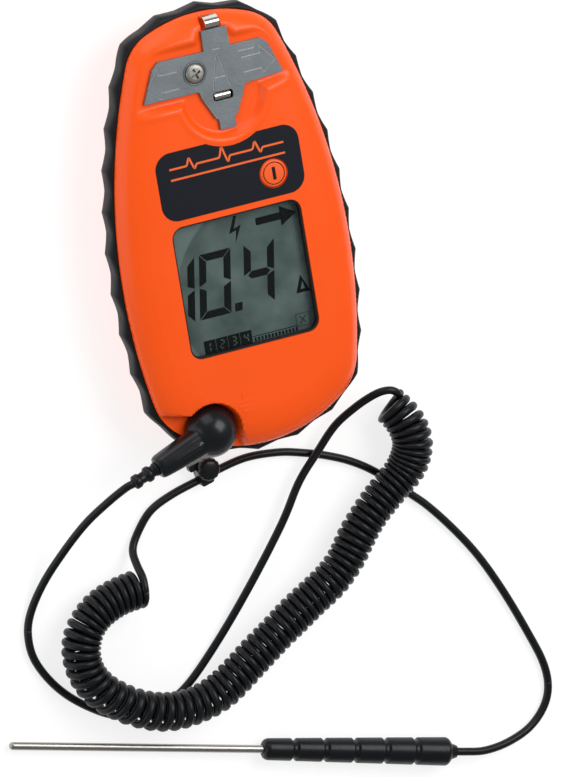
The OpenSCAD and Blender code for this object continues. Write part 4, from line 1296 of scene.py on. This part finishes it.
def build_rod():
    profile = [(0, 45.3), (ROD_R, 45.3), (ROD_R, 171.6)]
    for i in range(1, 9):
        angle = math.radians(90 * i / 8)
        profile.append((ROD_R * math.cos(angle) if i < 8 else 0,
                        171.75 + 1.45 * math.sin(angle)))
    rod = revolve("probe_rod_polished", profile, "steel", origin=PROBE_END,
                  rotation=probe_rotation(), n=48)
    sharpen(rod, 60)
    return rod


attach(build_handle(), "probe", "probe_handle")
attach(build_rod(), "probe", "probe_rod")

# ------------------------------------------------------------------ CAD nodes that stay
KEPT_NODES = {
    "case_seal": "seal", "lcd_panel": "display", "lcd_bezel": "white",
    "zebra_strip": "zebra", "main_board": "board", "board_components": "black",
    "tactile_switch": "black", "sense_coil": "copper", "contact_insert": "brass",
    "earth_socket": "nickel", "socket_wire": "red", "battery": "battery",
    "battery_snap": "black", "battery_wires": "red", "battery_pad": "foam",
    "case_screws": "screw", "rear_label": "paper", "battery_door": "orange",
    "switch_plunger": "black", "plug_pin": "nickel", "plug_spring": "brass",
    "probe_grommet": "cable"}
for node_name, material_key in KEPT_NODES.items():
    node_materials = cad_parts[node_name].data.materials
    node_materials.clear()
    node_materials.append(MATERIALS[material_key])

# ------------------------------------------------------------------ floor and world
floor = new_object("floor", level(box(-3000, -3000, 3000, 3000), -0.2), [(0, 1, 2, 3)],
                   "floor", smooth=False)


def build_world():
    """White to the camera, dimmer as fill light and dimmer still in reflections."""
    world = bpy.data.worlds.new("world")
    scene.world = world
    world.use_nodes = True
    tree = world.node_tree
    rays = add_node(tree, "LightPath").outputs
    dimmed = add_node(tree, "MapRange", {
        "Value": rays["Is Glossy Ray"], "To Min": 0.46, "To Max": 0.22}).outputs["Result"]
    strength = add_node(tree, "Math", {0: dimmed, 1: rays["Is Camera Ray"]},
                        operation="MAXIMUM").outputs[0]
    set_inputs(tree, tree.nodes["Background"], {0: (1, 1, 1, 1), 1: strength})


build_world()

# ------------------------------------------------------------------ view directions
VIEW_SIDE = np.array([-0.8, 0.6])        # plan direction from the case to the camera
VIEW_ELEVATION = math.radians(65.5)
VIEW_ROLL = math.radians(11.9)


def view_axes():
    """Camera right, up and backward directions."""
    sin, cos = math.sin(VIEW_ELEVATION), math.cos(VIEW_ELEVATION)
    hx, hy = VIEW_SIDE
    # x and y axes tipped with the view, before the roll
    x_axis = np.array([1 - (1 - sin) * hx**2, -(1 - sin) * hx * hy, -cos * hx])
    y_axis = np.array([-(1 - sin) * hx * hy, 1 - (1 - sin) * hy**2, -cos * hy])
    right = math.cos(VIEW_ROLL) * x_axis - math.sin(VIEW_ROLL) * y_axis
    up = math.sin(VIEW_ROLL) * x_axis + math.cos(VIEW_ROLL) * y_axis
    return right, up, np.cross(right, up)


RIGHT, VIEW_UP, BACK = view_axes()


# ------------------------------------------------------------------ lights
def area_light(name, right, up, back, size, power):
    """Square light aimed at the product; sizes in metres, power in watts."""
    target = np.array([0.0, -0.06, 0.0])
    place = target + RIGHT * right + VIEW_UP * up + BACK * back
    data = bpy.data.lights.new(name, "AREA")
    data.energy = power
    data.size = size
    light = bpy.data.objects.new(name, data)
    scene.collection.objects.link(light)
    light.location = tuple(place)
    aim = Vector(tuple(target)) - Vector(tuple(place))
    light.rotation_euler = aim.to_track_quat("-Z", "Y").to_euler()


area_light("key", right=0.75, up=0.35, back=0.75, size=0.7, power=7.2)
area_light("top", right=-0.25, up=0.9, back=0.8, size=0.8, power=3.4)
area_light("fill", right=-0.9, up=-0.2, back=0.7, size=0.7, power=2.0)

# ------------------------------------------------------------------ camera
VIEW_WIDTH = 282.54545               # width of the view at the case
VIEW_CENTRE = (26.72727, -62.18182)  # along RIGHT and VIEW_UP from the origin
CAMERA_DISTANCE = 5.0                # metres
SENSOR_WIDTH = 36


def build_camera():
    centre = (RIGHT * VIEW_CENTRE[0] + VIEW_UP * VIEW_CENTRE[1]) * MM
    place = centre + BACK * CAMERA_DISTANCE
    data = bpy.data.cameras.new("camera")
    camera = bpy.data.objects.new("camera", data)
    scene.collection.objects.link(camera)
    rows = np.stack([RIGHT, VIEW_UP, BACK, place], 1)
    camera.matrix_world = Matrix((*[tuple(row) for row in rows], (0, 0, 0, 1)))
    data.sensor_width = SENSOR_WIDTH
    data.lens = SENSOR_WIDTH * CAMERA_DISTANCE / (VIEW_WIDTH * MM)
    data.clip_start = 0.1
    data.clip_end = 50
    scene.camera = camera


build_camera()
scene.view_settings.view_transform = "Standard"
scene.view_settings.look = "None"
